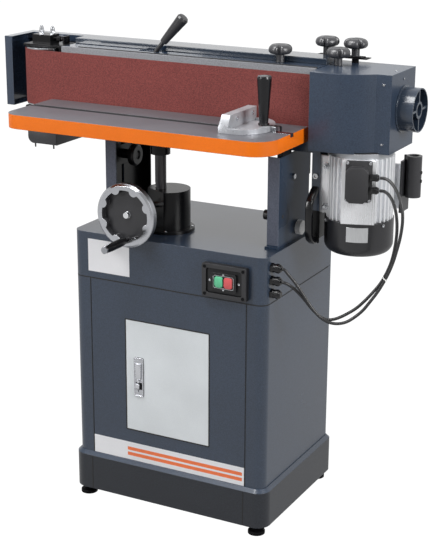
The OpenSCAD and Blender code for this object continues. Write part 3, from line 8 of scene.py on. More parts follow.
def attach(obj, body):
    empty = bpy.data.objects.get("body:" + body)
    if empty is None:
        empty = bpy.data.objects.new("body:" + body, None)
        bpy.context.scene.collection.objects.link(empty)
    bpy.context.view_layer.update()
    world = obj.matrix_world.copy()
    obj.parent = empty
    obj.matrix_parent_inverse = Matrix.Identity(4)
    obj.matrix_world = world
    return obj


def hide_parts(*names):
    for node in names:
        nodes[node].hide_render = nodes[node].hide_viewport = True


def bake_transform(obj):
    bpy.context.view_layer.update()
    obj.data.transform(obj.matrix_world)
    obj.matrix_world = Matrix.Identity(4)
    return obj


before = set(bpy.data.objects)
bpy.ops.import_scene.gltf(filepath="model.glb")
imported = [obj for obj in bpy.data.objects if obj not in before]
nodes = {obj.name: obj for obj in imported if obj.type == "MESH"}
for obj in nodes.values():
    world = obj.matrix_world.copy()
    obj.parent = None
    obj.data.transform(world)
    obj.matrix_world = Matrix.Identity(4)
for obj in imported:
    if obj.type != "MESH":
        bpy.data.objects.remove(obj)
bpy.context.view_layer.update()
scene = bpy.context.scene
scene.view_settings.view_transform = "Standard"


# Levelling feet
# Four moulded black rubber feet, screwed into the corners of the plinth. Like every coat here,
# their skin has a fine grain, tiny flecks, a slow drift of tone and lightened edges, partly rubbed wear and
# partly painted highlight.
def connect(tree, value, socket):
    if isinstance(value, bpy.types.NodeSocket):
        tree.links.new(value, socket)
    else:
        socket.default_value = value


def add_node(tree, kind, **values):
    made = tree.nodes.new(kind)
    for key, value in values.items():
        if key in made.inputs:
            connect(tree, value, made.inputs[key])
        else:
            setattr(made, key, value)
    return made


def new_group(name, kind, *sockets):
    tree = bpy.data.node_groups.new(name, kind)
    for label, direction, socket, default in sockets:
        item = tree.interface.new_socket(name=label, in_out=direction, socket_type="NodeSocket" + socket)
        if default is not None:
            item.default_value = default
    return tree, tree.nodes.new("NodeGroupInput").outputs, tree.nodes.new("NodeGroupOutput").inputs


def math_node(tree, operation, *values, kind="ShaderNodeMath", result="Value"):
    made = add_node(tree, kind, operation=operation)
    for socket, value in zip(made.inputs, values):
        connect(tree, value, socket)
    return made.outputs[result]


def vector_node(tree, operation, *values, result="Vector"):
    return math_node(tree, operation, *values, kind="ShaderNodeVectorMath", result=result)


def ranged(tree, source, low, high, to_low, to_high):
    limits = {"From Min": low, "From Max": high, "To Min": to_low, "To Max": to_high}
    return add_node(tree, "ShaderNodeMapRange", Value=source, **limits).outputs["Result"]


def mixed(tree, share, first, second):
    made = add_node(tree, "ShaderNodeMix", data_type="RGBA")
    for socket, value in ((made.inputs[0], share), (made.inputs[6], first), (made.inputs[7], second)):
        tree.links.new(value, socket)
    return made.outputs[2]


def noise(tree, place, scale, detail):
    return add_node(tree, "ShaderNodeTexNoise", Vector=place, Scale=scale, Detail=detail).outputs["Fac"]


coat, given, result = new_group(
    "Grained coat", "ShaderNodeTree",
    ("Colour", "INPUT", "Color", (0.1, 0.1, 0.1, 1)), ("Fleck", "INPUT", "Color", (0.2, 0.2, 0.2, 1)),
    ("Fleck amount", "INPUT", "Float", 0.2), ("Grain scale", "INPUT", "Float", 600.0),
    ("Grain depth", "INPUT", "Float", 0.1), ("Gloss", "INPUT", "Float", 0.4),
    ("Edge radius", "INPUT", "Float", 0.0012), ("Edge rub and sheen", "INPUT", "Float", 0.25),
    ("Mottle", "INPUT", "Float", 0.15), ("Color", "OUTPUT", "Color", None),
    ("Roughness", "OUTPUT", "Float", None), ("Normal", "OUTPUT", "Vector", None))
place = add_node(coat, "ShaderNodeTexCoord").outputs["Object"]
drift = noise(coat, place, scale=5.0, detail=3.0)
grain = noise(coat, place, scale=given["Grain scale"], detail=2.0)
fleck = noise(coat, place, scale=1400.0, detail=1.0)
mottle = noise(coat, place, scale=330.0, detail=2.0)
edge = add_node(coat, "ShaderNodeBevel", samples=4, Radius=given["Edge radius"]).outputs["Normal"]
bump = add_node(coat, "ShaderNodeBump", Distance=0.0004, Strength=given["Grain depth"], Height=grain,
                Normal=edge)
flat_normal = add_node(coat, "ShaderNodeNewGeometry").outputs["Normal"]
meet = vector_node(coat, "DOT_PRODUCT", edge, flat_normal, result="Value")
# The edges are mixed towards the fleck colour: partly rubbed wear, partly a painted highlight along lit
# edges.
rub_and_sheen_share = math_node(coat, "MULTIPLY", ranged(coat, meet, 0.995, 0.80, 0.0, 1.0), given["Edge rub and sheen"])
fleck_share = math_node(coat, "MULTIPLY", ranged(coat, fleck, 0.56, 0.72, 0.0, 1.0), given["Fleck amount"])
spots = math_node(coat, "MULTIPLY", ranged(coat, mottle, 0.3, 0.7, -1.0, 1.0), given["Mottle"])
level = math_node(coat, "ADD", ranged(coat, drift, 0.3, 0.7, 0.92, 1.08), spots)
tone = add_node(coat, "ShaderNodeHueSaturation", Value=level, Color=given["Colour"]).outputs["Color"]
flecked = mixed(coat, fleck_share, tone, given["Fleck"])
coat.links.new(mixed(coat, rub_and_sheen_share, flecked, given["Fleck"]), result["Color"])
coat.links.new(math_node(coat, "MULTIPLY_ADD", drift, 0.08, given["Gloss"]), result["Roughness"])
coat.links.new(bump.outputs["Normal"], result["Normal"])


# A skin is a group with its values and the shader's own constants. A material has one skin,
# and further ones where a mask is 1.
# rub sets how far the edges are lightened: partly wear, partly a painted highlight.
def paint(colour, gloss, fleck=None, amount=0.2, scale=600.0, depth=0.1, edge=0.0012, rub=0.25, clear=0.0,
          mottle=0.08, shine=0.5):
    fleck = fleck or [c * 1.9 + 0.02 for c in colour]
    return coat, {"Colour": (*colour, 1), "Fleck": (*fleck, 1), "Fleck amount": amount, "Grain scale": scale,
                  "Grain depth": depth, "Gloss": gloss, "Edge radius": edge, "Edge rub and sheen": rub,
                  "Mottle": mottle}, {"Coat Weight": clear, "Specular IOR Level": shine}


def grouped(tree, group, values):
    made = add_node(tree, "ShaderNodeGroup")
    made.node_tree = group
    for label, value in values.items():
        made.inputs[label].default_value = value
    return made.outputs


def skin_shader(tree, skin):
    group, values, constants = skin
    made = grouped(tree, group, values)
    fed = {"Base Color": made["Color"], "Roughness": made["Roughness"], "Normal": made["Normal"]}
    return add_node(tree, "ShaderNodeBsdfPrincipled", **constants, **fed).outputs["BSDF"]


def layered(tree, share, below, above):
    over = add_node(tree, "ShaderNodeMixShader")
    for socket, source in zip(over.inputs, (share, below, above)):
        tree.links.new(source, socket)
    return over.outputs["Shader"]


def material(name, skin, *layers):
    made = bpy.data.materials.new(name)
    made.use_nodes = True
    tree = made.node_tree
    tree.nodes.remove(tree.nodes["Principled BSDF"])
    surface = skin_shader(tree, skin)
    for upper, mask, values in layers:
        surface = layered(tree, grouped(tree, mask, values)["Inside"], surface, skin_shader(tree, upper))
    tree.links.new(surface, tree.nodes["Material Output"].inputs["Surface"])
    return made


def dress(finish, *names):
    for name in names:
        slots = nodes[name].data.materials
        slots.clear()
        slots.append(finish)


black_rubber = material("Black rubber", paint((0.003, 0.003, 0.0035), 0.5, amount=0.06, scale=1200, depth=0.2,
                                              rub=0.0, shine=0.06))
dress(black_rubber, "levelling_feet")

# Plinth
# A folded steel base in a near-black powder coat. Its bevelled top edge has the slate coat of
# the cabinet that stands on it as a painted bluish highlight, chosen by a mask in the shape of a box.
box_mask, given, result = new_group(
    "Inside box", "ShaderNodeTree", ("Low", "INPUT", "Vector", (0, 0, 0)),
    ("High", "INPUT", "Vector", (1, 1, 1)), ("Inside", "OUTPUT", "Float", None))
place = add_node(box_mask, "ShaderNodeTexCoord").outputs["Object"]
above = vector_node(box_mask, "SUBTRACT", place, given["Low"])
below = vector_node(box_mask, "SUBTRACT", given["High"], place)
nearest = vector_node(box_mask, "MINIMUM", above, below)
room = add_node(box_mask, "ShaderNodeSeparateXYZ", Vector=nearest).outputs
least = math_node(box_mask, "MINIMUM", math_node(box_mask, "MINIMUM", room["X"], room["Y"]), room["Z"])
box_mask.links.new(math_node(box_mask, "GREATER_THAN", least, 0.0), result["Inside"])


def within(skin, low, high):
    return skin, box_mask, {"Low": low, "High": high}


SLATE_FLECK = (0.11, 0.14, 0.19)
BEVEL_SHEEN_LOW, BEVEL_SHEEN_HIGH = (-1, -1, 0.1243), (1, 1, 0.14)
slate = paint((0.020, 0.032, 0.055), 0.25, SLATE_FLECK, 0.30, scale=420, depth=0.20, edge=0.0022, rub=0.35,
              clear=0.3, mottle=0.25)
plinth_black = paint((0.014, 0.016, 0.021), 0.28, (0.08, 0.10, 0.13), 0.3, scale=420, depth=0.20, edge=0.0022,
                     rub=0.6, clear=0.12, mottle=0.25, shine=0.34)
dress(material("Plinth powder coat", plinth_black, within(slate, BEVEL_SHEEN_LOW, BEVEL_SHEEN_HIGH)), "plinth")

# Cabinet
# Folded sheet steel in a slate powder coat with a light orange peel: sides and back in one
# sheet, a front panel set between them, and a box on top that carries the lift.
slate_coat = material("Slate powder coat", slate)
dress(slate_coat, "cabinet_body", "front_panel", "top_box")


# Seam shadow
# Black strips lie in the seams between the cabinet and the box on it, and down both edges of the
# front panel and the plinth; they are painted shadow and show as thin dark lines.
def node_box(name):
    spread = list(zip(*(vertex.co for vertex in nodes[name].data.vertices)))
    return Vector([min(values) for values in spread]), Vector([max(values) for values in spread])


# A piece rides a body and may stand for a node of the frame.
def piece(name, shape, body, slot, finish, smooth=None, replaced=None):
    mesh = finished(name, shape) if isinstance(shape, bmesh.types.BMesh) else shape
    made = bpy.data.objects.new(name, mesh)
    scene.collection.objects.link(made)
    mesh.materials.clear()
    mesh.materials.append(finish)
    if smooth:
        mesh.polygons.foreach_set("use_smooth", [True] * len(mesh.polygons))
        mesh.set_sharp_from_angle(angle=math.radians(smooth))
    if body:
        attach(made, body)
    if replaced:
        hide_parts(replaced)
    return made


def finished(name, build):
    bmesh.ops.recalc_face_normals(build, faces=build.faces)
    data = bpy.data.meshes.new(name)
    build.normal_update()
    build.to_mesh(data)
    build.free()
    return data


# Frames for flat-sided pieces: an outline is drawn along the first two axes and pushed out
# along the third, towards the operator or upwards.
def axes(origin, right, up):
    origin, right, up = Vector(origin), Vector(right), Vector(up)
    out = right.cross(up)
    return lambda u, v, w: origin + u * right + v * up + w * out


def facing_front(x, y, z):
    return axes((x, y, z), (1, 0, 0), (0, 0, 1))


def lying_flat(x, y, z):
    return axes((x, y, z), (1, 0, 0), (0, 1, 0))


def rect(left, right, low, high):
    return [(left, low), (right, low), (right, high), (left, high)]


def arc(centre, radius, start, end, steps):
    angles = [start + (end - start) * k / steps for k in range(steps + 1)]
    return [(centre[0] + radius * math.cos(a), centre[1] + radius * math.sin(a)) for a in angles]


def round_rect(wide, high, radius, steps=6):
    points = []
    for corner, (side, level) in enumerate(((1, -1), (1, 1), (-1, 1), (-1, -1))):
        centre = side * (wide / 2 - radius), level * (high / 2 - radius)
        start = math.pi / 2 * (corner - 1)
        points += arc(centre, radius, start, start + math.pi / 2, steps)
    return points


def joined(build, loops, around=True):
    count = len(loops[0])
    return [build.faces.new((first[k], first[(k + 1) % count], second[(k + 1) % count], second[k]))
            for first, second in zip(loops, loops[1:]) for k in range(count if around else count - 1)]


def capped(build, loops):
    return joined(build, loops) + [build.faces.new(loops[0][::-1]), build.faces.new(loops[-1])]


def rounded(build, edges, bevel):
    bmesh.ops.bevel(build, geom=list(edges), offset=bevel, segments=2, profile=0.5, affect="EDGES",
                    clamp_overlap=True)


# The bevel rounds the edge of the outer face.
def prism(build, at, outline, low, high, bevel=0.0):
    faces = capped(build, [[build.verts.new(at(u, v, w)) for u, v in outline] for w in (low, high)])
    if bevel:
        rounded(build, faces[-1].edges, bevel)


def ring(build, at, outer, inner, low, high):
    loops = [[build.verts.new(at(u, v, w)) for u, v in line]
             for line, w in ((outer, low), (outer, high), (inner, high), (inner, low))]
    joined(build, loops + loops[:1])


SEAM_PROUD, SEAM_DEEP, SEAM_BELOW, SEAM_ABOVE = 0.0003, 0.0020, 0.0010, 0.0018
CORNER_RADIUS = 0.026
PANEL_EDGE = 0.234
# Half width, low end, high end, back and front of the upright seams.
PANEL_SEAM = 0.0011, 0.1335, 0.6400, -0.0020, 0.0003
PLINTH_SEAM = 0.0016, 0.0260, 0.1235, 0.0100, 0.0113
cabinet_low, cabinet_high = node_box("cabinet_body")
wide, deep = cabinet_high.x - cabinet_low.x, cabinet_high.y - cabinet_low.y
outer, inner = [round_rect(wide + 2 * grow, deep + 2 * grow, CORNER_RADIUS + grow)
                for grow in (SEAM_PROUD, -SEAM_DEEP)]
world_at = lying_flat(0, 0, 0)
build = bmesh.new()
ring(build, world_at, outer, inner, cabinet_high.z - SEAM_BELOW, cabinet_high.z + SEAM_ABOVE)
for x in (-PANEL_EDGE, PANEL_EDGE):
    for half, low, high, back, proud in (PANEL_SEAM, PLINTH_SEAM):
        prism(build, facing_front(0, cabinet_low.y, 0), rect(x - half, x + half, low, high), back, proud)
shadow_line_black = material("Painted shadow line", paint((0.004, 0.004, 0.005), 0.6, amount=0.1, scale=900, rub=0.0))
piece("seam_shadow", build, "stand", "black_rubber", shadow_line_black)

# Plates and band on the stand
# A bare white plate on the box, and a white band over the plinth with two orange stripes,
# both printed foil stuck on the coat.
PLATE = (-0.239, -0.2104, 0.660), (-0.112, -0.2098, 0.749)
BAND = (-0.2315, -0.2105, 0.1340), (0.2315, -0.2098, 0.1860)
STRIPES = (0.1465, 0.1565), (0.1620, 0.1720)
STRIPES_FROM, STRIPES_TO = -0.125, 0.226


def box_mesh(name, *boxes, bevel=0.0):
    build = bmesh.new()
    for low, high in boxes:
        prism(build, world_at, rect(low[0], high[0], low[1], high[1]), low[2], high[2])
    if bevel:
        rounded(build, build.edges, bevel)
    return finished(name, build)


white_print = paint((0.70, 0.70, 0.72), 0.34, (0.8, 0.8, 0.81), 0.05, depth=0.03, edge=0.0002, rub=0.0,
                    mottle=0.01)
orange_print = paint((0.74, 0.16, 0.05), 0.34, amount=0.05, depth=0.03, edge=0.0002, rub=0.0, mottle=0.02)
stripes = [within(orange_print, (STRIPES_FROM, -1, low), (STRIPES_TO, 1, high)) for low, high in STRIPES]
piece("white_plate", box_mesh("white_plate", PLATE), "stand", "white_rubber",
      material("White print", white_print))
piece("striped_band", box_mesh("striped_band", BAND), "stand", "white_rubber",
      material("Striped band", white_print, *stripes))


# Door
# A shallow steel pan in pale grey, flush in the front panel on two hinge pins. A black ring round
# it is the painted shadow of the gap.
def front_middle(name):
    low, high = node_box(name)
    return (low.x + high.x) / 2, low.y, (low.z + high.z) / 2


DOOR_SHADOW_OUTER, DOOR_SHADOW_INNER, DOOR_SHADOW_HALF = (0.2570, 0.3210, 0.002), (0.2504, 0.3144, 0.001), 0.0004
door_paint = paint((0.62, 0.65, 0.67), 0.40, (0.76, 0.78, 0.80), 0.15, scale=420, depth=0.10, rub=0.1,
                   mottle=0.02)
dress(material("Pale door paint", door_paint), "door")
build = bmesh.new()
ring(build, facing_front(*front_middle("door")), round_rect(*DOOR_SHADOW_OUTER), round_rect(*DOOR_SHADOW_INNER), -DOOR_SHADOW_HALF,
     DOOR_SHADOW_HALF)
piece("door_gap_shadow", build, "stand", "black_rubber", shadow_line_black)

# Door lock
# A chromed plate with a raised rim, a flap lever hinged in it, a key cylinder under the lever's
# root and a push catch below; a black ring round the plate and a black pad under the catch are
# painted shadow. Chrome and steel show streaks of the machining and faint stains.
bare, given, result = new_group(
    "Bare metal", "ShaderNodeTree",
    ("Colour", "INPUT", "Color", (0.6, 0.6, 0.6, 1)),
    ("Streak scale", "INPUT", "Vector", (40.0, 900.0, 900.0)),
    ("Streak depth", "INPUT", "Float", 0.1), ("Streak tone", "INPUT", "Float", 0.2),
    ("Gloss", "INPUT", "Float", 0.3), ("Edge radius", "INPUT", "Float", 0.0008),
    ("Color", "OUTPUT", "Color", None), ("Roughness", "OUTPUT", "Float", None),
    ("Normal", "OUTPUT", "Vector", None))
place = add_node(bare, "ShaderNodeTexCoord").outputs["Object"]
stretched = vector_node(bare, "MULTIPLY", place, given["Streak scale"])
streak = noise(bare, stretched, scale=1.0, detail=3.0)
stain = noise(bare, place, scale=9.0, detail=4.0)
spread = ranged(bare, math_node(bare, "ADD", streak, stain), 0.6, 1.4, -1.0, 1.0)
level = math_node(bare, "MULTIPLY_ADD", spread, given["Streak tone"], 1.0)
tone = add_node(bare, "ShaderNodeHueSaturation", Value=level, Color=given["Colour"])
edge = add_node(bare, "ShaderNodeBevel", samples=4, Radius=given["Edge radius"]).outputs["Normal"]
bump = add_node(bare, "ShaderNodeBump", Distance=0.0002, Strength=given["Streak depth"], Height=streak,
                Normal=edge)
bare.links.new(tone.outputs["Color"], result["Color"])
bare.links.new(math_node(bare, "MULTIPLY_ADD", spread, 0.06, given["Gloss"]), result["Roughness"])
bare.links.new(bump.outputs["Normal"], result["Normal"])


def metal(colour, gloss, streaks=(40.0, 900.0, 900.0), depth=0.1, tone=0.2, edge=0.0008, bright=1.0):
    return bare, {"Colour": (*colour, 1), "Streak scale": streaks, "Streak depth": depth, "Streak tone": tone,
                  "Gloss": gloss, "Edge radius": edge}, {"Metallic": bright}


def moved(outline, right, up):
    return [(u + right, v + up) for u, v in outline]


def round_line(radius, count=96):
    return arc((0, 0), radius, 0.0, math.tau * (count - 1) / count, count - 1)


RIM_OUTER, RIM_INNER, RIM_HIGH = (0.0278, 0.1098, 0.003), (0.0245, 0.1065, 0.002), 0.0012
CATCH, CATCH_PLACE, CATCH_HIGH = (0.0125, 0.0135, 0.002), (-0.0020, -0.0250), 0.0060
CYLINDER_RADIUS, CYLINDER_PLACE, CYLINDER_HIGH = 0.0046, (0.0, -0.0117), 0.0042
EDGE_SHADOW_OUTER, EDGE_SHADOW_INNER, EDGE_SHADOW_LOW, EDGE_SHADOW_HIGH = (0.0291, 0.1111, 0.0035), (0.0279, 0.1099, 0.003), -0.0027, -0.0021
CATCH_SHADOW, CATCH_SHADOW_PLACE, CATCH_SHADOW_HIGH = (0.0200, 0.0200, 0.002), (0.0005, -0.0255), 0.0003
LOCK_SUNK = -0.0005
LEVER_OUTLINE = [(-0.0080, 0.0065), (-0.0066, -0.0006), (0.0066, -0.0006), (0.0080, 0.0065), (0.0084, 0.0400),
                 (0.0066, 0.0422), (-0.0066, 0.0422), (-0.0084, 0.0400)]
LEVER_ROOT, LEVER_BACK, LEVER_FRONT = -0.0040, 0.0005, 0.0040
flat_black = paint((0.004, 0.004, 0.005), 0.55, (0.03, 0.03, 0.033), 0.1, scale=900, depth=0.1, rub=0.0,
                   shine=0.12)
matt_black = material("Matt black", flat_black)
# The lock's chrome and steel are only partly metallic, so their pale colour also shows as a painted
# reflection of white surroundings.
lock_chrome_painted_shine = material("Lock chrome", metal((0.60, 0.61, 0.64), 0.18, tone=0.06, depth=0.02, bright=0.85))
lock_steel_painted_shine = metal((0.50, 0.51, 0.54), 0.26, tone=0.10, depth=0.03, bright=0.85)
dress(material("Lock plate", lock_steel_painted_shine), "door_lock")
lock_at = facing_front(*front_middle("door_lock"))
build = bmesh.new()
ring(build, lock_at, round_rect(*RIM_OUTER), round_rect(*RIM_INNER), LOCK_SUNK, RIM_HIGH)
prism(build, lock_at, moved(round_rect(*CATCH), *CATCH_PLACE), LOCK_SUNK, CATCH_HIGH, bevel=0.0015)
cylinder = moved(round_line(CYLINDER_RADIUS, 24), *CYLINDER_PLACE)
prism(build, lock_at, cylinder, LOCK_SUNK, CYLINDER_HIGH, bevel=0.0008)
piece("lock_rim", build, "door", "chrome_lock", lock_chrome_painted_shine, smooth=40)
build = bmesh.new()
# Painted shadow: a thin black ring round the plate, and a black pad under the catch that shows to its right
# and below.
ring(build, lock_at, round_rect(*EDGE_SHADOW_OUTER), round_rect(*EDGE_SHADOW_INNER), EDGE_SHADOW_LOW, EDGE_SHADOW_HIGH)
prism(build, lock_at, moved(round_rect(*CATCH_SHADOW), *CATCH_SHADOW_PLACE), LOCK_SUNK, CATCH_SHADOW_HIGH)
piece("lock_painted_shadow", build, "door", "black_steel", matt_black)
build = bmesh.new()
prism(build, lock_at, moved(LEVER_OUTLINE, 0.0, LEVER_ROOT), LEVER_BACK, LEVER_FRONT, bevel=0.0013)
piece("lock_lever_grip", build, "lock", "chrome_lock", lock_chrome_painted_shine, smooth=40, replaced="lock_lever")

# Switch
# A moulded black plate on the box with a raised frame, and inside it a thin black ring that is
# painted shadow. A block in the middle holds the green start cap, the red stop cap, and a clear
# collar with two lamp dots.
SWITCH_X, SWITCH_Y, SWITCH_Z = 0.176, -0.222, 0.694
FRAME_HIGH = 0.0045
# Name, outer and inner size with corner radius, and height of the three rings.
SWITCH_RINGS = (("switch_frame", (0.1255, 0.0875, 0.004), (0.1020, 0.0660, 0.006), FRAME_HIGH),
                ("switch_block", (0.0720, 0.0480, 0.005), (0.0580, 0.0340, 0.0045), 0.0062),
                ("switch_frame_shadow", (0.1024, 0.0664, 0.006), (0.0975, 0.0615, 0.0045), 0.0007))
RING_SUNK = -0.001
COLLAR_Y, COLLAR_SUNK, COLLAR_HIGH = -0.226, -0.0005, 0.0026
COLLAR_OUTER, COLLAR_INNER = (0.0580, 0.0340, 0.0055), (0.0562, 0.0322, 0.0050)
DOT_RADIUS, DOT_UP, DOT_HIGH = 0.0024, 0.0200, 0.0030
CAP, CAP_Y, CAP_Z, CAP_HIGH = (0.0225, 0.0285, 0.0050), -0.2190, 0.6939, 0.0110
moulded = paint((0.006, 0.006, 0.0072), 0.33, (0.05, 0.05, 0.055), 0.12, scale=1100, depth=0.16, edge=0.0016,
                rub=0.4, shine=0.38)
gloss_black = paint((0.004, 0.004, 0.005), 0.15, (0.06, 0.06, 0.065), 0.08, scale=900, depth=0.05,
                    edge=0.0012, rub=0.5, shine=0.42)
coarse = paint((0.016, 0.016, 0.018), 0.48, (0.06, 0.06, 0.065), 0.25, scale=1300, depth=0.3, edge=0.0012,
               rub=0.4)
black_plastic = material("Black moulded plastic", moulded)
gloss_plastic = material("Gloss black plastic", gloss_black)
coarse_plastic = material("Coarse black moulding", coarse)
dress(black_plastic, "switch_plate")
switch_at = facing_front(SWITCH_X, SWITCH_Y, SWITCH_Z)
# The last ring is matt black: a painted shadow along the frame's inner wall.
ring_looks = ("black_plastic", coarse_plastic), ("black_plastic", gloss_plastic), ("black_rubber", matt_black)
for (name, outer, inner, high), look in zip(SWITCH_RINGS, ring_looks):
    build = bmesh.new()
    ring(build, switch_at, round_rect(*outer), round_rect(*inner), RING_SUNK, high)
    piece(name, build, "stand", *look)
for name, x, hue, colour in (("start", 0.1625, "green", (0.10, 0.44, 0.24)),
                             ("stop", 0.1895, "red", (0.55, 0.085, 0.09))):
    build = bmesh.new()
    prism(build, facing_front(x, CAP_Y, CAP_Z), round_rect(*CAP), 0.0, CAP_HIGH, bevel=0.0022)
    cap_skin = paint(colour, 0.25, amount=0.05, depth=0.04, rub=0.5)
    piece(name + "_cap", build, name, hue + "_plastic", material(hue.capitalize() + " plastic", cap_skin),
          smooth=40, replaced=name + "_button")
collar_at = facing_front(SWITCH_X, COLLAR_Y, SWITCH_Z)
build = bmesh.new()
ring(build, collar_at, round_rect(*COLLAR_OUTER), round_rect(*COLLAR_INNER), COLLAR_SUNK, COLLAR_HIGH)
for up in (-DOT_UP, DOT_UP):
    prism(build, collar_at, moved(round_line(DOT_RADIUS, 16), 0.0, up), COLLAR_SUNK, DOT_HIGH)
milky = paint((0.36, 0.38, 0.39), 0.2, amount=0.05, depth=0.03, edge=0.0004, rub=0.2)
piece("switch_collar", build, "stand", "white_rubber", material("Milky plastic", milky))

# Uprights
# Two bent channels bolted on the box, sprayed thinner than the cabinet; their front edges are a
# paler slate as a painted highlight. The inner face of the left one's web is painted black as
# painted shade, and a black strip behind its slot is painted shade seen through the slot.
LIT_FLANGE_LOW, LIT_FLANGE_HIGH = (-0.30, -0.1210, 0.776), (0.33, -0.1188, 1.05)
WEB_SHADE_LOW, WEB_SHADE_HIGH = (-0.2325, -0.1165, 0.7725), (-0.15, 0.20, 1.02)
WEB_SLOT_SHADE_FACE = (-0.2445, -0.0600, 0.8480), (-0.2428, -0.0200, 1.0030)
WEB_SLOT_SHADE_FOOT = (-0.2430, -0.0600, 0.8480), (-0.2360, -0.0200, 0.8510)
WEB_SLOT_SHADE_HEAD = (-0.2430, -0.0600, 1.0000), (-0.2360, -0.0200, 1.0030)
satin_black = paint((0.003, 0.003, 0.0035), 0.22, (0.05, 0.05, 0.055), 0.08, scale=700, depth=0.08,
                    edge=0.0016, rub=0.5, shine=0.22)
upright_slate = paint((0.019, 0.034, 0.062), 0.24, (0.13, 0.16, 0.21), 0.25, scale=420, depth=0.10,
                      edge=0.0022, rub=0.35, mottle=0.2, shine=0.13)
painted_lit_slate = paint((0.098, 0.110, 0.148), 0.26, (0.16, 0.19, 0.24), 0.25, scale=420, depth=0.12, edge=0.0022,
                   rub=0.35, mottle=0.2, shine=0.3)
painted_lit_front = within(painted_lit_slate, LIT_FLANGE_LOW, LIT_FLANGE_HIGH)
# Painted shade: the inner face of the left web is painted black.
web_inner_shade = within(satin_black, WEB_SHADE_LOW, WEB_SHADE_HIGH)
dress(material("Upright slate", upright_slate, painted_lit_front), "right_upright")
dress(material("Upright with painted web shade", upright_slate, painted_lit_front, web_inner_shade), "left_upright")
# Painted shade: a black strip behind the left web's slot, seen through it.
web_slot_shade = box_mesh("web_slot_shade", WEB_SLOT_SHADE_FACE, WEB_SLOT_SHADE_FOOT, WEB_SLOT_SHADE_HEAD)
piece("web_slot_shade", web_slot_shade, "stand", "black_steel", matt_black)

# Hinges, stop pad and tilt lock
# Satin black brackets with turned steel pins carry the head behind the uprights. A white rubber
# stop pad and a moulded lock knob sit on the right upright.
black_steel = material("Black satin steel", satin_black)
bright = metal((0.47, 0.48, 0.50), 0.20)
bright_steel = material("Bright steel", bright)
dress(black_steel, "hinge_brackets")
dress(bright_steel, "hinge_pins")
white_rubber = paint((0.92, 0.92, 0.91), 0.30, (0.93, 0.93, 0.92), 0.1, scale=900)
dress(material("White rubber", white_rubber), "stop_pad")
dress(black_plastic, "tilt_lock_knob")

# Lift
# A satin black cast housing on the box; a turned shaft with a pinion drives the rack of the
# grey-black column that slides in it.
grey_black = paint((0.027, 0.027, 0.030), 0.28, (0.08, 0.08, 0.085), 0.10, scale=700, depth=0.10, edge=0.0016,
                   rub=0.4)
grey_steel = material("Grey-black steel", grey_black)
dress(black_steel, "lift_housing")
dress(grey_steel, "lift_column")
dress(bright_steel, "pinion_shaft")

# Hand wheel
# An aluminium casting on the pinion shaft: the face of the rim and eight lobes are polished, the
# dished floor is painted black. The crank grip is black plastic with a bright end.
disc_mask, given, result = new_group(
    "Inside disc", "ShaderNodeTree", ("Centre", "INPUT", "Vector", (0, 0, 0)),
    ("Radius", "INPUT", "Float", 0.05), ("Front", "INPUT", "Float", 0.0), ("Inside", "OUTPUT", "Float", None))
place = add_node(disc_mask, "ShaderNodeTexCoord").outputs["Object"]
arm = vector_node(disc_mask, "SUBTRACT", place, given["Centre"])
reach = vector_node(disc_mask, "LENGTH", vector_node(disc_mask, "MULTIPLY", arm, (1, 0, 1)), result="Value")
near = math_node(disc_mask, "LESS_THAN", reach, given["Radius"])
depth = add_node(disc_mask, "ShaderNodeSeparateXYZ", Vector=place).outputs["Y"]
behind = math_node(disc_mask, "GREATER_THAN", depth, given["Front"])
disc_mask.links.new(math_node(disc_mask, "MULTIPLY", near, behind), result["Inside"])


def on_wheel(skin, radius, front):
    return skin, disc_mask, {"Centre": front_middle("handwheel"), "Radius": radius, "Front": front}


FACE_RADIUS, FACE_FRONT = 0.0832, -0.350
FLOOR_RADIUS, FLOOR_FRONT = 0.0690, -0.2425
NUT_RADIUS, NUT_FRONT = 0.0087, -0.300
GRIP_END_LOW, GRIP_END_HIGH = (-1, -0.360, 0.5), (1, -0.3385, 1.0)
polished = metal((0.52, 0.53, 0.56), 0.17, streaks=(120.0, 500.0, 120.0), depth=0.04, tone=0.05)
turned = metal((0.36, 0.37, 0.395), 0.30, streaks=(120.0, 500.0, 120.0), depth=0.04, tone=0.10)
chrome = metal((0.76, 0.77, 0.79), 0.10, tone=0.05, depth=0.02)
dress(material("Hand wheel", turned, on_wheel(polished, FACE_RADIUS, FACE_FRONT),
               on_wheel(grey_black, FLOOR_RADIUS, FLOOR_FRONT), on_wheel(chrome, NUT_RADIUS, NUT_FRONT)),
      "handwheel")
dress(material("Crank grip", gloss_black, within(turned, GRIP_END_LOW, GRIP_END_HIGH)), "crank_grip")


# Table
# One iron casting: the top ground and oiled, the edge painted orange, the underside black as painted
# shade. It is hollow below with two ribs, and has a slot for the mitre bar, whose bare iron is darkened
# as painted shade, and a boss for the column.
def carved(name, solid, *steps):
    host = bpy.data.objects.new(name + "_blank", solid)
    scene.collection.objects.link(host)
    tools = []
    for operation, mesh in steps:
        tool = bpy.data.objects.new(mesh.name, mesh)
        scene.collection.objects.link(tool)
        step = host.modifiers.new(mesh.name, "BOOLEAN")
        step.operation, step.solver, step.object = operation, "EXACT", tool
        tools.append(tool)
    made = bpy.data.meshes.new_from_object(host.evaluated_get(bpy.context.evaluated_depsgraph_get()))
    for used in tools + [host]:
        bpy.data.objects.remove(used)
    return made


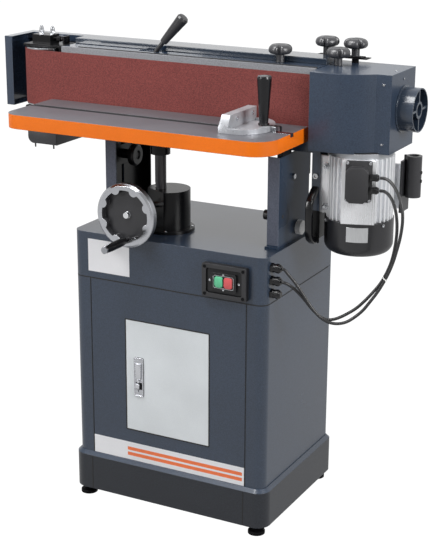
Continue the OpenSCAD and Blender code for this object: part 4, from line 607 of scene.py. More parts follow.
TABLE_LEFT, TABLE_RIGHT, TABLE_FRONT, TABLE_BACK = -0.4410, 0.3270, -0.2980, -0.0640
TABLE_TOP, TABLE_UNDER, TABLE_ROOF = 1.0800, 1.0430, 1.0660
RIGHT_RADIUS, LEFT_RADIUS, RIM_WALL = 0.062, 0.048, 0.012
BOSS_RADIUS, BORE_RADIUS, BOSS_FOOT, BOSS_TOP, BORE_TOP = 0.0260, 0.0151, 0.972, 1.0670, 1.0662
OVERRUN = 0.002
RIB_LEFT, RIB_RIGHT, RIB_LOW, RIB_HIGH = -0.4290, 0.3155, 1.0510, 1.0670
FRONT_RIB, BACK_RIB = (-0.2435, -0.2355), (-0.1850, -0.1770)
MITRE_SLOT = (-0.5, -0.1697, 1.0705), (0.5, -0.1503, 1.1)
LEFT_CLEARANCE = (-0.240, -0.124, 1.04), (-0.186, -0.05, 1.066)
RIGHT_CLEARANCE = (0.226, -0.124, 1.04), (0.280, -0.05, 1.066)
TOP_LOW, TOP_HIGH = (-1, -1, 1.0798), (1, 1, 1.2)
# Inside the mitre slot the bare iron is far darker than the ground top: painted shade.
MITRE_SLOT_SHADE_LOW, MITRE_SLOT_SHADE_HIGH = (-1, -0.1702, 1.0695), (0.3250, -0.1498, 1.0799)
# The underside is painted black as painted shade under the table, so it throws no orange reflection.
UNDER_SHADE_LOW, UNDER_SHADE_HIGH = (-1, -1, 0.8), (1, 1, 1.0434)
orange = paint((0.68, 0.137, 0.002), 0.34, (0.90, 0.30, 0.03), 0.10, rub=0.15, mottle=0.03, shine=0.35)
ground = metal((0.145, 0.146, 0.162), 0.42, streaks=(14.0, 420.0, 60.0), depth=0.05, tone=0.06, bright=0.45)
mitre_slot_iron_shade = metal((0.035, 0.035, 0.038), 0.5, bright=0.2)
table_finish = material("Table", orange, within(ground, TOP_LOW, TOP_HIGH),
                        within(mitre_slot_iron_shade, MITRE_SLOT_SHADE_LOW, MITRE_SLOT_SHADE_HIGH), within(satin_black, UNDER_SHADE_LOW, UNDER_SHADE_HIGH))


def table_outline(inset):
    left, right = TABLE_LEFT + inset, TABLE_RIGHT - inset
    front, back = TABLE_FRONT + inset, TABLE_BACK - inset
    large, small = RIGHT_RADIUS - inset, LEFT_RADIUS - inset
    return (arc((right - large, front + large), large, -math.pi / 2, 0.0, 24) + [(right, back), (left, back)]
            + arc((left + small, front + small), small, math.pi, 1.5 * math.pi, 12))


def prism_mesh(name, at, outline, low, high, bevel=0.0):
    build = bmesh.new()
    prism(build, at, outline, low, high, bevel)
    return finished(name, build)


column_low, column_high = node_box("lift_column")
column_at = lying_flat((column_low.x + column_high.x) / 2, (column_low.y + column_high.y) / 2, 0)
front_rib, back_rib = [((RIB_LEFT, low, RIB_LOW), (RIB_RIGHT, high, RIB_HIGH))
                       for low, high in (FRONT_RIB, BACK_RIB)]
blank = prism_mesh("table_blank", world_at, table_outline(0.0), TABLE_UNDER, TABLE_TOP, bevel=0.0006)
hollow = prism_mesh("table_hollow", world_at, table_outline(RIM_WALL), TABLE_UNDER - OVERRUN, TABLE_ROOF)
boss = prism_mesh("table_boss", column_at, round_line(BOSS_RADIUS, 48), BOSS_FOOT, BOSS_TOP)
bore = prism_mesh("table_bore", column_at, round_line(BORE_RADIUS, 48), BOSS_FOOT - OVERRUN, BORE_TOP)
table_mesh = carved(
    "table_casting", blank, ("DIFFERENCE", hollow), ("UNION", box_mesh("table_rib_front", front_rib)),
    ("UNION", box_mesh("table_rib_back", back_rib)), ("UNION", boss), ("DIFFERENCE", bore),
    ("DIFFERENCE", box_mesh("table_slot", MITRE_SLOT)),
    ("DIFFERENCE", box_mesh("left_clearance", LEFT_CLEARANCE)),
    ("DIFFERENCE", box_mesh("right_clearance", RIGHT_CLEARANCE)))
piece("table_casting", table_mesh, "table", "table_iron", table_finish, smooth=35, replaced="table")

# Table brackets and lock
# Black steel guides under the table run along the uprights. A moulded knob locks the left one,
# and the right one has a folded flange.
BRACKET_FLANGE = (0.2785, -0.1180, 1.0080), (0.2835, -0.0660, 1.0660)
dress(black_steel, "table_brackets")
dress(black_plastic, "table_lock_knob")
piece("bracket_flange", box_mesh("bracket_flange", BRACKET_FLANGE), "table", "black_steel", matt_black)

# Mitre gauge
# A bright steel bar in the table's slot carries an aluminium casting: a half round with a
# curved slot, and a tall fence sloped at the operator's end. A black handle clamps it.
MITRE_RIM, MITRE_HALF, MITRE_THICK = 0.0935, 0.0812, 0.0128
SLOT_OUT, SLOT_IN, HUB_THICK = 0.0762, 0.0675, 0.0085
FENCE_HALF, FENCE_THICK = 0.012, 0.024
FENCE_OUTLINE = [(-0.082, 0.0), (0.0815, 0.0), (0.0815, 0.042), (-0.062, 0.042), (-0.082, 0.013)]
# The half rounds end at these depths inside the fence.
RIM_END, SLOT_END, HUB_END = FENCE_HALF - 0.005, FENCE_HALF - 0.002, FENCE_HALF - 0.001
dress(bright_steel, "mitre_bar")
dress(gloss_plastic, "mitre_handle")
mitre_low, mitre_high = node_box("mitre_head")
mitre_y = (mitre_low.y + mitre_high.y) / 2
mitre_at = lying_flat(mitre_low.x + FENCE_HALF, mitre_y, mitre_low.z)
half_turn = -math.pi / 2, math.pi / 2
swing = math.asin(MITRE_HALF / MITRE_RIM)
rim = [(RIM_END, -MITRE_HALF)] + arc((0, 0), MITRE_RIM, -swing, swing, 48) + [(RIM_END, MITRE_HALF)]
slot_edge = [(max(u, SLOT_END), v) for u, v in arc((0, 0), SLOT_OUT, *half_turn, 48)]
slot_line = [(SLOT_END, -SLOT_OUT)] + slot_edge + [(SLOT_END, SLOT_OUT)]
hub = [(max(u, HUB_END), v) for u, v in arc((0, 0), SLOT_IN, *half_turn, 40)]
fence_at = axes((mitre_low.x, mitre_y, mitre_low.z), (0, 1, 0), (0, 0, 1))
build = bmesh.new()
ring(build, mitre_at, rim, slot_line, 0.0, MITRE_THICK)
prism(build, mitre_at, hub, 0.0, HUB_THICK)
prism(build, fence_at, FENCE_OUTLINE, 0.0, FENCE_THICK, bevel=0.0009)
mitre_skin = metal((0.43, 0.44, 0.465), 0.31, streaks=(70.0, 70.0, 70.0), depth=0.12, tone=0.10, bright=0.45)
piece("mitre_casting", build, "mitre_head", "cast_aluminium", material("Mitre casting", mitre_skin),
      smooth=35, replaced="mitre_head")

# Mitre pointer
# A bent black strip on a small bright block at the end of the bar; it points at the casting's rim.
POINTER_BLOCK, BLOCK_LOW, BLOCK_HIGH = rect(0.2735, 0.2860, -0.1660, -0.1540), 1.0802, 1.0930
POINTER_Y, POINTER_WIDE = -0.1565, 0.007
POINTER_OUTLINE = [(0.2640, 1.0938), (0.2935, 1.0938), (0.2955, 1.0920), (0.2955, 1.0815), (0.2975, 1.0815),
                   (0.2975, 1.0935), (0.2945, 1.0960), (0.2640, 1.0950)]
block = prism_mesh("pointer_block", world_at, POINTER_BLOCK, BLOCK_LOW, BLOCK_HIGH, bevel=0.0008)
piece("pointer_block", block, "mitre_bar", "bright_steel", bright_steel)
strip = prism_mesh("mitre_pointer", facing_front(0, POINTER_Y, 0), POINTER_OUTLINE, 0.0, POINTER_WIDE)
piece("mitre_pointer", strip, "mitre_bar", "black_steel", black_steel)

# Head beam and frame
# A folded beam and a frame box in slate. On its glossy top plate lies a folded channel behind the
# lever and the knob, coated darker as painted shade, and a black strip along the joint between the
# plate and the platen is painted shadow.
RAIL = (-0.4075, 0.0080, 1.2250), (0.3405, 0.0755, 1.2400)
PLATEN_JOINT_SHADOW = (-0.3600, -0.0500, 1.2250), (0.3400, -0.0465, 1.2272)
gloss_slate = paint((0.019, 0.031, 0.054), 0.17, SLATE_FLECK, 0.25, scale=420, depth=0.05, edge=0.0018,
                    rub=0.35, clear=0.6, mottle=0.22)
# The rail's coat is darker than the frame's: painted shade on its front.
rail_shaded_slate = paint((0.010, 0.018, 0.032), 0.15, SLATE_FLECK, 0.15, scale=420, depth=0.05, edge=0.0018,
                   rub=0.35, clear=0.5, shine=0.4)
dress(slate_coat, "head_beam")
dress(material("Slate gloss coat", gloss_slate), "head_frame")
piece("frame_rail", box_mesh("frame_rail", RAIL, bevel=0.0015), "head", "slate_paint",
      material("Rail gloss coat", rail_shaded_slate))
# Painted shadow: a thin black strip along the joint between the top plate and the platen.
piece("platen_joint_shadow", box_mesh("platen_joint_shadow", PLATEN_JOINT_SHADOW), "head", "black_rubber", shadow_line_black)

# Sanding belt, platen and drums
# Brown-red abrasive cloth with a coarse grit runs over a grey graphite-faced plate, between a
# rubber-covered drum on the motor's shaft and a turned idler roller.
abrasive = paint((0.142, 0.034, 0.031), 0.75, (0.30, 0.11, 0.10), 0.55, scale=1500, depth=0.4, rub=0.0,
                 mottle=0.36, shine=0.2)
graphite = paint((0.175, 0.178, 0.19), 0.55, (0.36, 0.37, 0.39), 0.6, scale=900, depth=0.3, rub=0.0,
                 mottle=0.25, shine=0.3)
dress(material("Belt abrasive", abrasive), "sanding_belt")
dress(material("Platen graphite", graphite), "platen")
dress(black_rubber, "drive_drum")
dress(bright_steel, "idler_roller")

# Idler and tension lever
# A satin black fork and block hold a zinc plated axle with cap nuts; the tracking screw beside the
# block is blackened. The lever that tensions the belt has a black plastic grip.
TRACK_LOW, TRACK_HIGH = (-0.468, -0.2, 1.2215), (-0.380, 0.2, 1.2600)
dress(black_steel, "idler_fork", "axle_block")
dress(material("Idler axle steel", bright, within(satin_black, TRACK_LOW, TRACK_HIGH)), "idler_axle")
lever_skin = paint((0.020, 0.020, 0.022), 0.24, (0.08, 0.08, 0.085), 0.1, scale=900, depth=0.06, rub=0.5,
                   shine=0.55)
dress(material("Lever grip plastic", lever_skin), "tension_lever")

# Tension cover
# A deep-drawn steel cover under the idler end, rounded at the outer end, on two studs, in a charcoal
# coat darker than the slate as painted shade.
COVER_LEFT, COVER_RIGHT, COVER_LOW, COVER_TOP = -0.5490, -0.4540, 0.9415, 1.0000
COVER_RADIUS, COVER_BACK, COVER_DEEP = 0.0190, 0.106, 0.136
STUD_RADIUS, STUD_LOW, STUD_HIGH, STUDS_X, STUD_Y = 0.0022, 0.9285, 0.9435, (-0.5330, -0.4715), -0.018
end_centre = COVER_LEFT + COVER_RADIUS, COVER_LOW + COVER_RADIUS
cover_line = ([(COVER_RIGHT, COVER_TOP), (COVER_LEFT, COVER_TOP)]
              + arc(end_centre, COVER_RADIUS, math.pi, 1.5 * math.pi, 10) + [(COVER_RIGHT, COVER_LOW)])
build = bmesh.new()
prism(build, facing_front(0, COVER_BACK, 0), cover_line, 0.0, COVER_DEEP, bevel=0.0020)
for x in STUDS_X:
    prism(build, lying_flat(x, STUD_Y, 0), round_line(STUD_RADIUS, 16), STUD_LOW, STUD_HIGH)
piece("tension_cover", build, "head", "black_steel", material("Charcoal shade coat", grey_black), smooth=40,
      replaced="tension_housing")

# Rear guard
# Folded plate behind and round the idler in the gloss slate; its end under the knobs is black, and
# so are the two slotted tabs that the knobs clamp.
GUARD_END_LOW, GUARD_END_HIGH = (0.338, 0.0, 1.15), (0.45, 0.2, 1.3)
dress(material("Guard with black flange", gloss_slate, within(flat_black, GUARD_END_LOW, GUARD_END_HIGH)),
      "rear_guard")
dress(matt_black, "guard_tabs")

# Hood and dust port
# A folded hood round the drum, and a moulded spigot with a flange screwed on it. In its mouth a
# cross of four webs carries a thick hub ring; a black ring behind them is painted shade inside the spigot.
PORT_LONG, PORT_RADIUS, PORT_BORE = 0.0440, 0.0550, 0.0520
PORT_FLANGE, FLANGE_INNER, FLANGE_THICK = 0.0590, 0.0549, 0.0030
HUB_OUTER, HUB_INNER, HUB_FRONT = 0.0215, 0.0150, 0.0415
WEB_FROM, WEB_TO, WEB_HALF, WEB_BACK, WEB_FRONT = 0.0210, 0.0525, 0.0027, 0.0260, 0.0410
MOUTH_SHADE_OUTER, MOUTH_SHADE_INNER, MOUTH_SHADE_BACK, MOUTH_SHADE_FRONT = 0.0519, 0.0508, 0.0005, 0.0250
hood_slate = paint((0.020, 0.032, 0.055), 0.26, SLATE_FLECK, 0.30, scale=420, depth=0.12, edge=0.0022,
                   rub=0.45, clear=0.15, mottle=0.25, shine=0.42)
dress(material("Hood powder coat", hood_slate), "hood")
port_low, port_high = node_box("dust_port")
port_middle = (port_low + port_high) / 2
port_at = axes((port_low.x, port_middle.y, port_middle.z), (0, 1, 0), (0, 0, 1))
build = bmesh.new()
for outer, inner, back, front in ((PORT_RADIUS, PORT_BORE, 0.0, PORT_LONG),
                                  (PORT_FLANGE, FLANGE_INNER, 0.0, FLANGE_THICK),
                                  (HUB_OUTER, HUB_INNER, WEB_BACK, HUB_FRONT)):
    ring(build, port_at, round_line(outer), round_line(inner), back, front)
for right, up in ((1, 0), (0, 1), (-1, 0), (0, -1)):
    web = [(u * right - v * up, u * up + v * right) for u, v in rect(WEB_FROM, WEB_TO, -WEB_HALF, WEB_HALF)]
    prism(build, port_at, web, WEB_BACK, WEB_FRONT)
port_skin = paint((0.022, 0.034, 0.056), 0.20, (0.11, 0.14, 0.18), 0.15, scale=700, depth=0.05, clear=0.3)
piece("port_spigot", build, "head", "slate_paint", material("Port plastic", port_skin), smooth=40,
      replaced="dust_port")
build = bmesh.new()
ring(build, port_at, round_line(MOUTH_SHADE_OUTER), round_line(MOUTH_SHADE_INNER), MOUTH_SHADE_BACK, MOUTH_SHADE_FRONT)
piece("port_mouth_shade", build, "head", "black_plastic", matt_black)

# Star knobs
# Four moulded knobs with four fat round lobes and narrow notches on a plain stem, one turned
# profile pinched at the notches; each is pressed on its own stud.
KNOB_PROFILE = [(0.0, 0.0004), (0.0105, 0.0004), (0.0105, 0.0190), (0.0125, 0.0202), (0.0200, 0.0206),
                (0.0262, 0.0226), (0.0300, 0.0268), (0.0311, 0.0318), (0.0300, 0.0372), (0.0265, 0.0418),
                (0.0215, 0.0444), (0.0165, 0.0450), (0.0125, 0.0444), (0.0100, 0.0432), (0.0, 0.0430)]
KNOB_SIDES, STEM_TOP, STUD_LONG = 96, 0.0195, 0.008
NOTCH_DEPTH, NOTCH_HALF, NOTCH_FROM, NOTCH_FADE = 0.34, 0.17, 0.0128, 0.012
QUARTER = math.pi / 2
FIRST_NOTCHES = {"platen_knob": 0.3, "hood_knob": 0.55, "guard_knob_left": 0.1, "guard_knob_right": 0.8}


def star_knob(seat, first_notch):
    build = bmesh.new()
    rings = []
    for radius, height in KNOB_PROFILE:
        fade = max(0.0, min(1.0, (radius - NOTCH_FROM) / NOTCH_FADE))
        pinch = fade * NOTCH_DEPTH if height > STEM_TOP else 0.0
        loop = []
        for k in range(KNOB_SIDES if radius else 1):
            angle = math.tau * k / KNOB_SIDES
            off = (angle - first_notch + QUARTER / 2) % QUARTER - QUARTER / 2
            reach = radius * (1 - pinch * math.exp(-(off / NOTCH_HALF) ** 2))
            place = Vector((reach * math.cos(angle), reach * math.sin(angle), height))
            loop.append(build.verts.new(seat + place))
        rings.append(loop)
    for low, high in zip(rings, rings[1:]):
        for k in range(KNOB_SIDES):
            after = k + 1
            quad = low[k % len(low)], low[after % len(low)], high[after % len(high)], high[k % len(high)]
            build.faces.new(list(dict.fromkeys(quad)))
    return build


knob_skin = paint((0.034, 0.034, 0.038), 0.30, (0.09, 0.09, 0.095), 0.15, scale=1100, depth=0.12, edge=0.0016,
                  rub=0.4, shine=0.7)
knob_plastic = material("Knob plastic", knob_skin)
for name, first_notch in FIRST_NOTCHES.items():
    knob_low, knob_high = node_box(name)
    seat = Vector(((knob_low.x + knob_high.x) / 2, (knob_low.y + knob_high.y) / 2, knob_low.z + STUD_LONG))
    piece(name + "_moulding", star_knob(seat, first_notch), name, "black_plastic", knob_plastic, smooth=40,
          replaced=name)

# Motor plate and pull handle
# The slate plate that carries the motor is painted black below 0.866 m. A moulded bow handle
# with slanting legs and broad feet is screwed to its lip.
PLATE_BLACK_LOW, PLATE_BLACK_HIGH = (0.30, -0.2, 0.70), (0.40, 0.2, 0.866)
# Depth, height and thickness along the bow.
BOW_PATH = [(-0.0602, 0.9200, 0.018), (-0.0680, 0.9165, 0.016), (-0.0900, 0.8990, 0.013),
            (-0.0950, 0.8900, 0.0125), (-0.0965, 0.8700, 0.0125), (-0.0965, 0.8300, 0.0125),
            (-0.0950, 0.8100, 0.0125), (-0.0890, 0.7990, 0.013), (-0.0720, 0.7890, 0.015),
            (-0.0602, 0.7880, 0.016)]
BOW_LEFT, BOW_RIGHT, BOW_RADIUS = 0.3395, 0.3585, 0.004
black_lower_plate = within(satin_black, PLATE_BLACK_LOW, PLATE_BLACK_HIGH)
dress(material("Motor plate black below", slate, black_lower_plate), "motor_plate")
build = bmesh.new()
loops = []
last = len(BOW_PATH) - 1
for i, (y, z, thick) in enumerate(BOW_PATH):
    before, after = BOW_PATH[max(i - 1, 0)], BOW_PATH[min(i + 1, last)]
    ahead = Vector((0, after[0] - before[0], after[1] - before[1])).normalized()
    if i in (0, last):
        ahead = Vector((0, -1 if i == 0 else 1, 0))
    bow_at = axes(((BOW_LEFT + BOW_RIGHT) / 2, y, z), (1, 0, 0), Vector((1, 0, 0)).cross(ahead))
    section = round_rect(BOW_RIGHT - BOW_LEFT, thick, BOW_RADIUS, 3)
    loops.append([build.verts.new(bow_at(u, v, 0.0)) for u, v in section])
capped(build, loops)
piece("bow_handle", build, "head", "black_plastic", gloss_plastic, smooth=40, replaced="pull_handle")

# Motor body
# An extruded aluminium shell with 36 round ribs and a plain seat for the terminal box, a smooth
# end shield on top, two feet on the left and a pad for the tube's plate behind.
MOTOR_X, MOTOR_Y = 0.446, 0.0
RIB_TOP, RIB_DEEP, RIBS, RIB_CROWN = 0.0850, 0.0085, 36, 0.0012
GROOVE_HALF_SHARE, GROOVE_SIDE_SHARE = 0.34, 0.16
SEAT_OUT, SEAT_HALF, SEAT_TURN = 0.0880, 0.0420, math.radians(19)
SHELL_STEPS, SHELL_LOW, SHELL_HIGH, SHELL_EDGE_SHARE = 1080, 0.8512, 1.0130, 0.9985
SHELL_LEVELS = (SHELL_LOW, SHELL_EDGE_SHARE), (0.8520, 1.0), (1.0118, 1.0), (SHELL_HIGH, SHELL_EDGE_SHARE)
SHIELD_RADIUS, SHIELD_FROM, SHIELD_TO = 0.081, 1.0128, 1.0268
FOOT_LEFT, FOOT_RIGHT, FOOT_NEAR, FOOT_FAR, FOOT_FROM, FOOT_TO = 0.3465, 0.400, 0.0455, 0.0535, 0.862, 1.010
TUBE_PAD, PAD_FROM, PAD_TO = rect(0.484, 0.5355, 0.046, 0.054), 0.870, 0.985
SHIELD_LOW, SHIELD_HIGH = (0.3, -0.2, 1.0131), (0.6, 0.2, 1.03)
DRAWN = 260.0, 260.0, 3.0
seat_angle = SEAT_TURN - math.pi / 2


def shell_radius(angle):
    away = (angle - seat_angle + math.pi) % math.tau - math.pi
    if abs(away) < math.atan2(SEAT_HALF, SEAT_OUT):
        return SEAT_OUT / math.cos(away)
    off = abs((angle * RIBS / math.tau) % 1.0 - 0.5)
    fall = min(1.0, max(0.0, (GROOVE_HALF_SHARE - off) / GROOVE_SIDE_SHARE))
    return RIB_TOP - RIB_DEEP * fall * fall * (3 - 2 * fall) - RIB_CROWN * (2 * off) ** 4


motor_at = lying_flat(MOTOR_X, MOTOR_Y, 0)
angles = [math.tau * k / SHELL_STEPS for k in range(SHELL_STEPS)]
outline = [(shell_radius(a) * math.cos(a), shell_radius(a) * math.sin(a)) for a in angles]
build = bmesh.new()
capped(build, [[build.verts.new(motor_at(share * u, share * v, z)) for u, v in outline]
               for z, share in SHELL_LEVELS])
prism(build, motor_at, round_line(SHIELD_RADIUS), SHIELD_FROM, SHIELD_TO)
for near, far in ((-FOOT_FAR, -FOOT_NEAR), (FOOT_NEAR, FOOT_FAR)):
    prism(build, world_at, rect(FOOT_LEFT, FOOT_RIGHT, near, far), FOOT_FROM, FOOT_TO, bevel=0.0012)
prism(build, world_at, TUBE_PAD, PAD_FROM, PAD_TO, bevel=0.001)
shield_skin = metal((0.38, 0.39, 0.41), 0.34, streaks=DRAWN, depth=0.004, tone=0.05, bright=0.6)
silver_skin = metal((0.78, 0.79, 0.81), 0.30, streaks=DRAWN, depth=0.004, tone=0.04, bright=0.55)
motor_skin = material("Silver motor skin", silver_skin, within(shield_skin, SHIELD_LOW, SHIELD_HIGH))
piece("motor_shell", build, "head", "cast_aluminium", motor_skin, smooth=35, replaced="motor_body")
dress(bright_steel, "motor_rotor")

# Fan cover
# A pressed steel cap in satin black under the motor, with a thin aluminium plate riveted round it
# below the terminal box.
PLATE_RADIUS, PLATE_THICK, PLATE_LOW, PLATE_HIGH = 0.0884, 0.0008, 0.804, 0.842
PLATE_HALF_ANGLE = math.radians(18)
cover_skin = paint((0.011, 0.011, 0.013), 0.27, (0.07, 0.07, 0.075), 0.12, scale=1100, depth=0.08,
                   edge=0.0016, rub=0.4, shine=0.6)
dress(material("Fan cover steel", cover_skin), "fan_cover")
plate_ends = seat_angle - PLATE_HALF_ANGLE, seat_angle + PLATE_HALF_ANGLE
build = bmesh.new()
loops = []
for inset, z in ((PLATE_THICK, PLATE_LOW), (0.0, PLATE_LOW), (0.0, PLATE_HIGH), (PLATE_THICK, PLATE_HIGH)):
    strip = arc((0, 0), PLATE_RADIUS - inset, *plate_ends, 16)
    loops.append([build.verts.new(motor_at(u, v, z)) for u, v in strip])
joined(build, loops + loops[:1], around=False)
build.faces.new([loop[0] for loop in loops])
build.faces.new([loop[-1] for loop in loops][::-1])
brushed = metal((0.62, 0.63, 0.64), 0.34, streaks=(700.0, 700.0, 60.0), depth=0.05, tone=0.12)
piece("fan_cover_plate", build, "head", "cast_aluminium", material("Brushed plate", brushed))


# Terminal box
# A black moulding on the motor's seat: a base plate with a screw in each corner, and a deep lid
# with cut corners.
def cut_rect(wide, high, cut):
    x, y = wide / 2, high / 2
    return [(x - cut, -y), (x, -y + cut), (x, y - cut), (x - cut, y), (-x + cut, y), (-x, y - cut),
            (-x, -y + cut), (-x + cut, -y)]


BOX_Z, BOX_BASE, BOX_BASE_FROM, BOX_BASE_TO = 0.962, (0.066, 0.104, 0.006), 0.0002, 0.008
LID_PLACE = -0.0035, -0.0040
LID_NECK, LID_NECK_FROM, LID_NECK_TO = (0.051, 0.084, 0.008), 0.0078, 0.022
LID_TOP, LID_TOP_FROM, LID_TOP_TO = (0.056, 0.089, 0.011), 0.021, 0.036
seat_right = Vector((math.cos(SEAT_TURN), math.sin(SEAT_TURN), 0))
seat_out = seat_right.cross(Vector((0, 0, 1)))
box_at = axes(Vector((MOTOR_X, MOTOR_Y, BOX_Z)) + SEAT_OUT * seat_out, seat_right, (0, 0, 1))
build = bmesh.new()
prism(build, box_at, round_rect(*BOX_BASE), BOX_BASE_FROM, BOX_BASE_TO, bevel=0.0010)
prism(build, box_at, moved(cut_rect(*LID_NECK), *LID_PLACE), LID_NECK_FROM, LID_NECK_TO, bevel=0.0008)
prism(build, box_at, moved(cut_rect(*LID_TOP), *LID_PLACE), LID_TOP_FROM, LID_TOP_TO, bevel=0.0016)
piece("terminal_lid", build, "head", "black_plastic", coarse_plastic, smooth=30, replaced="terminal_box")

# Accessory tube and cable glands
# A grey-black steel tube on its bracket plate behind the motor, and glossy moulded glands screwed
# into the terminal box and the right side of the stand.
dress(grey_steel, "accessory_tube")
dress(gloss_plastic, "motor_glands", "stand_glands")

# Motor cables
# Two rubber-sheathed cables, 8 mm thick, from the cabinet's glands down in a free loop and up to
# the motor's terminal box. A nylon tie holds them together.
CABLE_RADIUS, CABLE_SIDES, CABLE_STEPS = 0.004, 14, 4
UPPER_ROUTE = [(315, -177, 737), (322, -177, 736), (333, -175, 724), (348, -172, 707), (363, -169, 687),
               (377, -165, 665), (390, -162, 646), (404, -159, 629), (421, -155, 615), (440, -152, 608),
               (460, -148, 608), (480, -145, 615), (499, -141, 629), (519, -137, 649), (537, -133, 675),
               (554, -129, 702), (571, -125, 736), (584, -121, 770), (593, -117, 806), (600, -113, 844),
               (602, -108, 881), (597, -102, 914), (585, -95, 940), (571, -88, 958), (556, -82, 970),
               (542, -79, 975), (529, -82, 976)]
LOWER_ROUTE = [(315, -177, 703), (323, -177, 702), (332, -172, 697), (345, -167, 687), (359, -162, 673),
               (374, -157, 655), (389, -153, 637), (405, -148, 621), (423, -144, 612), (440, -139, 613),
               (457, -135, 620), (476, -131, 632), (497, -127, 648), (517, -123, 669), (537, -119, 694),
               (555, -115, 720), (569, -111, 750), (579, -108, 781), (584, -104, 814), (586, -101, 847),
               (583, -96, 878), (576, -91, 904), (566, -86, 923), (554, -81, 936), (541, -79, 943),
               (529, -82, 944)]
TIE_UPPER, TIE_LOWER = Vector((0.5710, -0.1250, 0.7360)), Vector((0.5625, -0.1129, 0.7350))
TIE_AHEAD = Vector((30, 8, 68)).normalized()
TIE_WIDE, TIE_THICK, TIE_GAP, TIE_SIDES = 0.0030, 0.0010, 0.0002, 32
TAIL_LONG, TAIL_WIDE = 0.010, 0.0024

# The tie runs as a flat oval round both cables, with its tail sticking out past the upper one.
apart = TIE_UPPER - TIE_LOWER
apart -= apart.dot(TIE_AHEAD) * TIE_AHEAD
tie_half = apart.length / 2
tie_at = axes((TIE_UPPER + TIE_LOWER) / 2, apart.normalized(), TIE_AHEAD.cross(apart.normalized()))
build = bmesh.new()
loops = []
for wall, lift in ((TIE_GAP, -0.5), (TIE_GAP, 0.5), (TIE_THICK, 0.5), (TIE_THICK, -0.5)):
    loop = []
    for k in range(TIE_SIDES):
        angle = math.tau * (k + 0.5) / TIE_SIDES
        u = (CABLE_RADIUS + wall) * math.cos(angle) + math.copysign(tie_half, math.cos(angle))
        loop.append(build.verts.new(tie_at(u, (CABLE_RADIUS + wall) * math.sin(angle), lift * TIE_WIDE)))
    loops.append(loop)
joined(build, loops + loops[:1])
tail_root = tie_half + CABLE_RADIUS
prism(build, tie_at, rect(tail_root, tail_root + TAIL_LONG, -TIE_THICK / 2, TIE_THICK / 2), -TAIL_WIDE / 2,
      TAIL_WIDE / 2)
nylon = paint((0.72, 0.72, 0.70), 0.35, amount=0.05, depth=0.04, edge=0.0003, rub=0.0)
cable_tie = piece("cable_tie", build, None, "white_rubber", material("Tie nylon", nylon))
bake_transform(cable_tie)


def smooth_line(points, steps):
    line = []
    for i in range(len(points) - 1):
        a, d = points[max(i - 1, 0)], points[min(i + 2, len(points) - 1)]
        b, c = points[i], points[i + 1]
        for k in range(steps):
            t = k / steps
            line.append(0.5 * (2 * b + (c - a) * t + (2 * a - 5 * b + 4 * c - d) * t * t
                               + (3 * b - a - 3 * c + d) * t * t * t))
    line.append(points[-1])
    return line


def tube(line, radius, sides):
    build = bmesh.new()
    loops = []
    for i, point in enumerate(line):
        ahead = (line[min(i + 1, len(line) - 1)] - line[max(i - 1, 0)]).normalized()
        side = Vector((0, 1, 0)).cross(ahead).normalized()
        at = axes(point, side, ahead.cross(side))
        loops.append([build.verts.new(at(u, v, 0.0)) for u, v in round_line(radius, sides)])
    capped(build, loops)
    return build


sheath_skin = paint((0.016, 0.016, 0.017), 0.34, amount=0.0, depth=0.0, edge=0.0004, rub=0.0, mottle=0.0)
cable_rubber = material("Cable rubber", sheath_skin)
for name, route in (("cable_upper", UPPER_ROUTE), ("cable_lower", LOWER_ROUTE)):
    line = smooth_line([Vector(p) / 1000 for p in route], CABLE_STEPS)
    cable = piece(name + "_sheath", tube(line, CABLE_RADIUS, CABLE_SIDES), None, "cable_sheath", cable_rubber,
                  smooth=60, replaced=name)
    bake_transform(cable)

# Screws and nuts
# Zinc plated and blackened fasteners on marked points: a turned or six-sided head with a socket
# sunk in it. The larger bolts and nuts of the stand and the head are bright too.
fixing, given, result = new_group(
    "Screw heads", "GeometryNodeTree",
    ("Points", "INPUT", "Geometry", None), ("Radius", "INPUT", "Float", 0.003),
    ("Height", "INPUT", "Float", 0.002), ("Sides", "INPUT", "Int", 24), ("Socket", "INPUT", "Float", 0.5),
    ("Finish", "INPUT", "Material", None), ("Geometry", "OUTPUT", "Geometry", None))
head = add_node(fixing, "GeometryNodeMeshCylinder", Vertices=given["Sides"], Radius=given["Radius"],
                Depth=given["Height"]).outputs
crown = add_node(fixing, "GeometryNodeExtrudeMesh", mode="FACES", Individual=False, Mesh=head["Mesh"],
                 Selection=head["Top"], **{"Offset Scale": 0.0}).outputs
shrunk = add_node(fixing, "GeometryNodeScaleElements", Geometry=crown["Mesh"], Selection=crown["Top"],
                  Scale=given["Socket"]).outputs["Geometry"]
sunk = math_node(fixing, "MULTIPLY", given["Height"], -0.6)
socketed = add_node(fixing, "GeometryNodeExtrudeMesh", mode="FACES", Individual=False, Mesh=shrunk,
                    Selection=crown["Top"], **{"Offset Scale": sunk}).outputs["Mesh"]
facing = add_node(fixing, "GeometryNodeInputNamedAttribute", data_type="FLOAT_VECTOR", Name="facing")
aligned = add_node(fixing, "FunctionNodeAlignRotationToVector", axis="Z", Vector=facing.outputs["Attribute"])
standing = add_node(fixing, "GeometryNodeInstanceOnPoints", Points=given["Points"], Instance=socketed,
                    Rotation=aligned.outputs["Rotation"]).outputs["Instances"]
real = add_node(fixing, "GeometryNodeRealizeInstances", Geometry=standing).outputs["Geometry"]
coloured = add_node(fixing, "GeometryNodeSetMaterial", Geometry=real, Material=given["Finish"])
fixing.links.new(coloured.outputs["Geometry"], result["Geometry"])


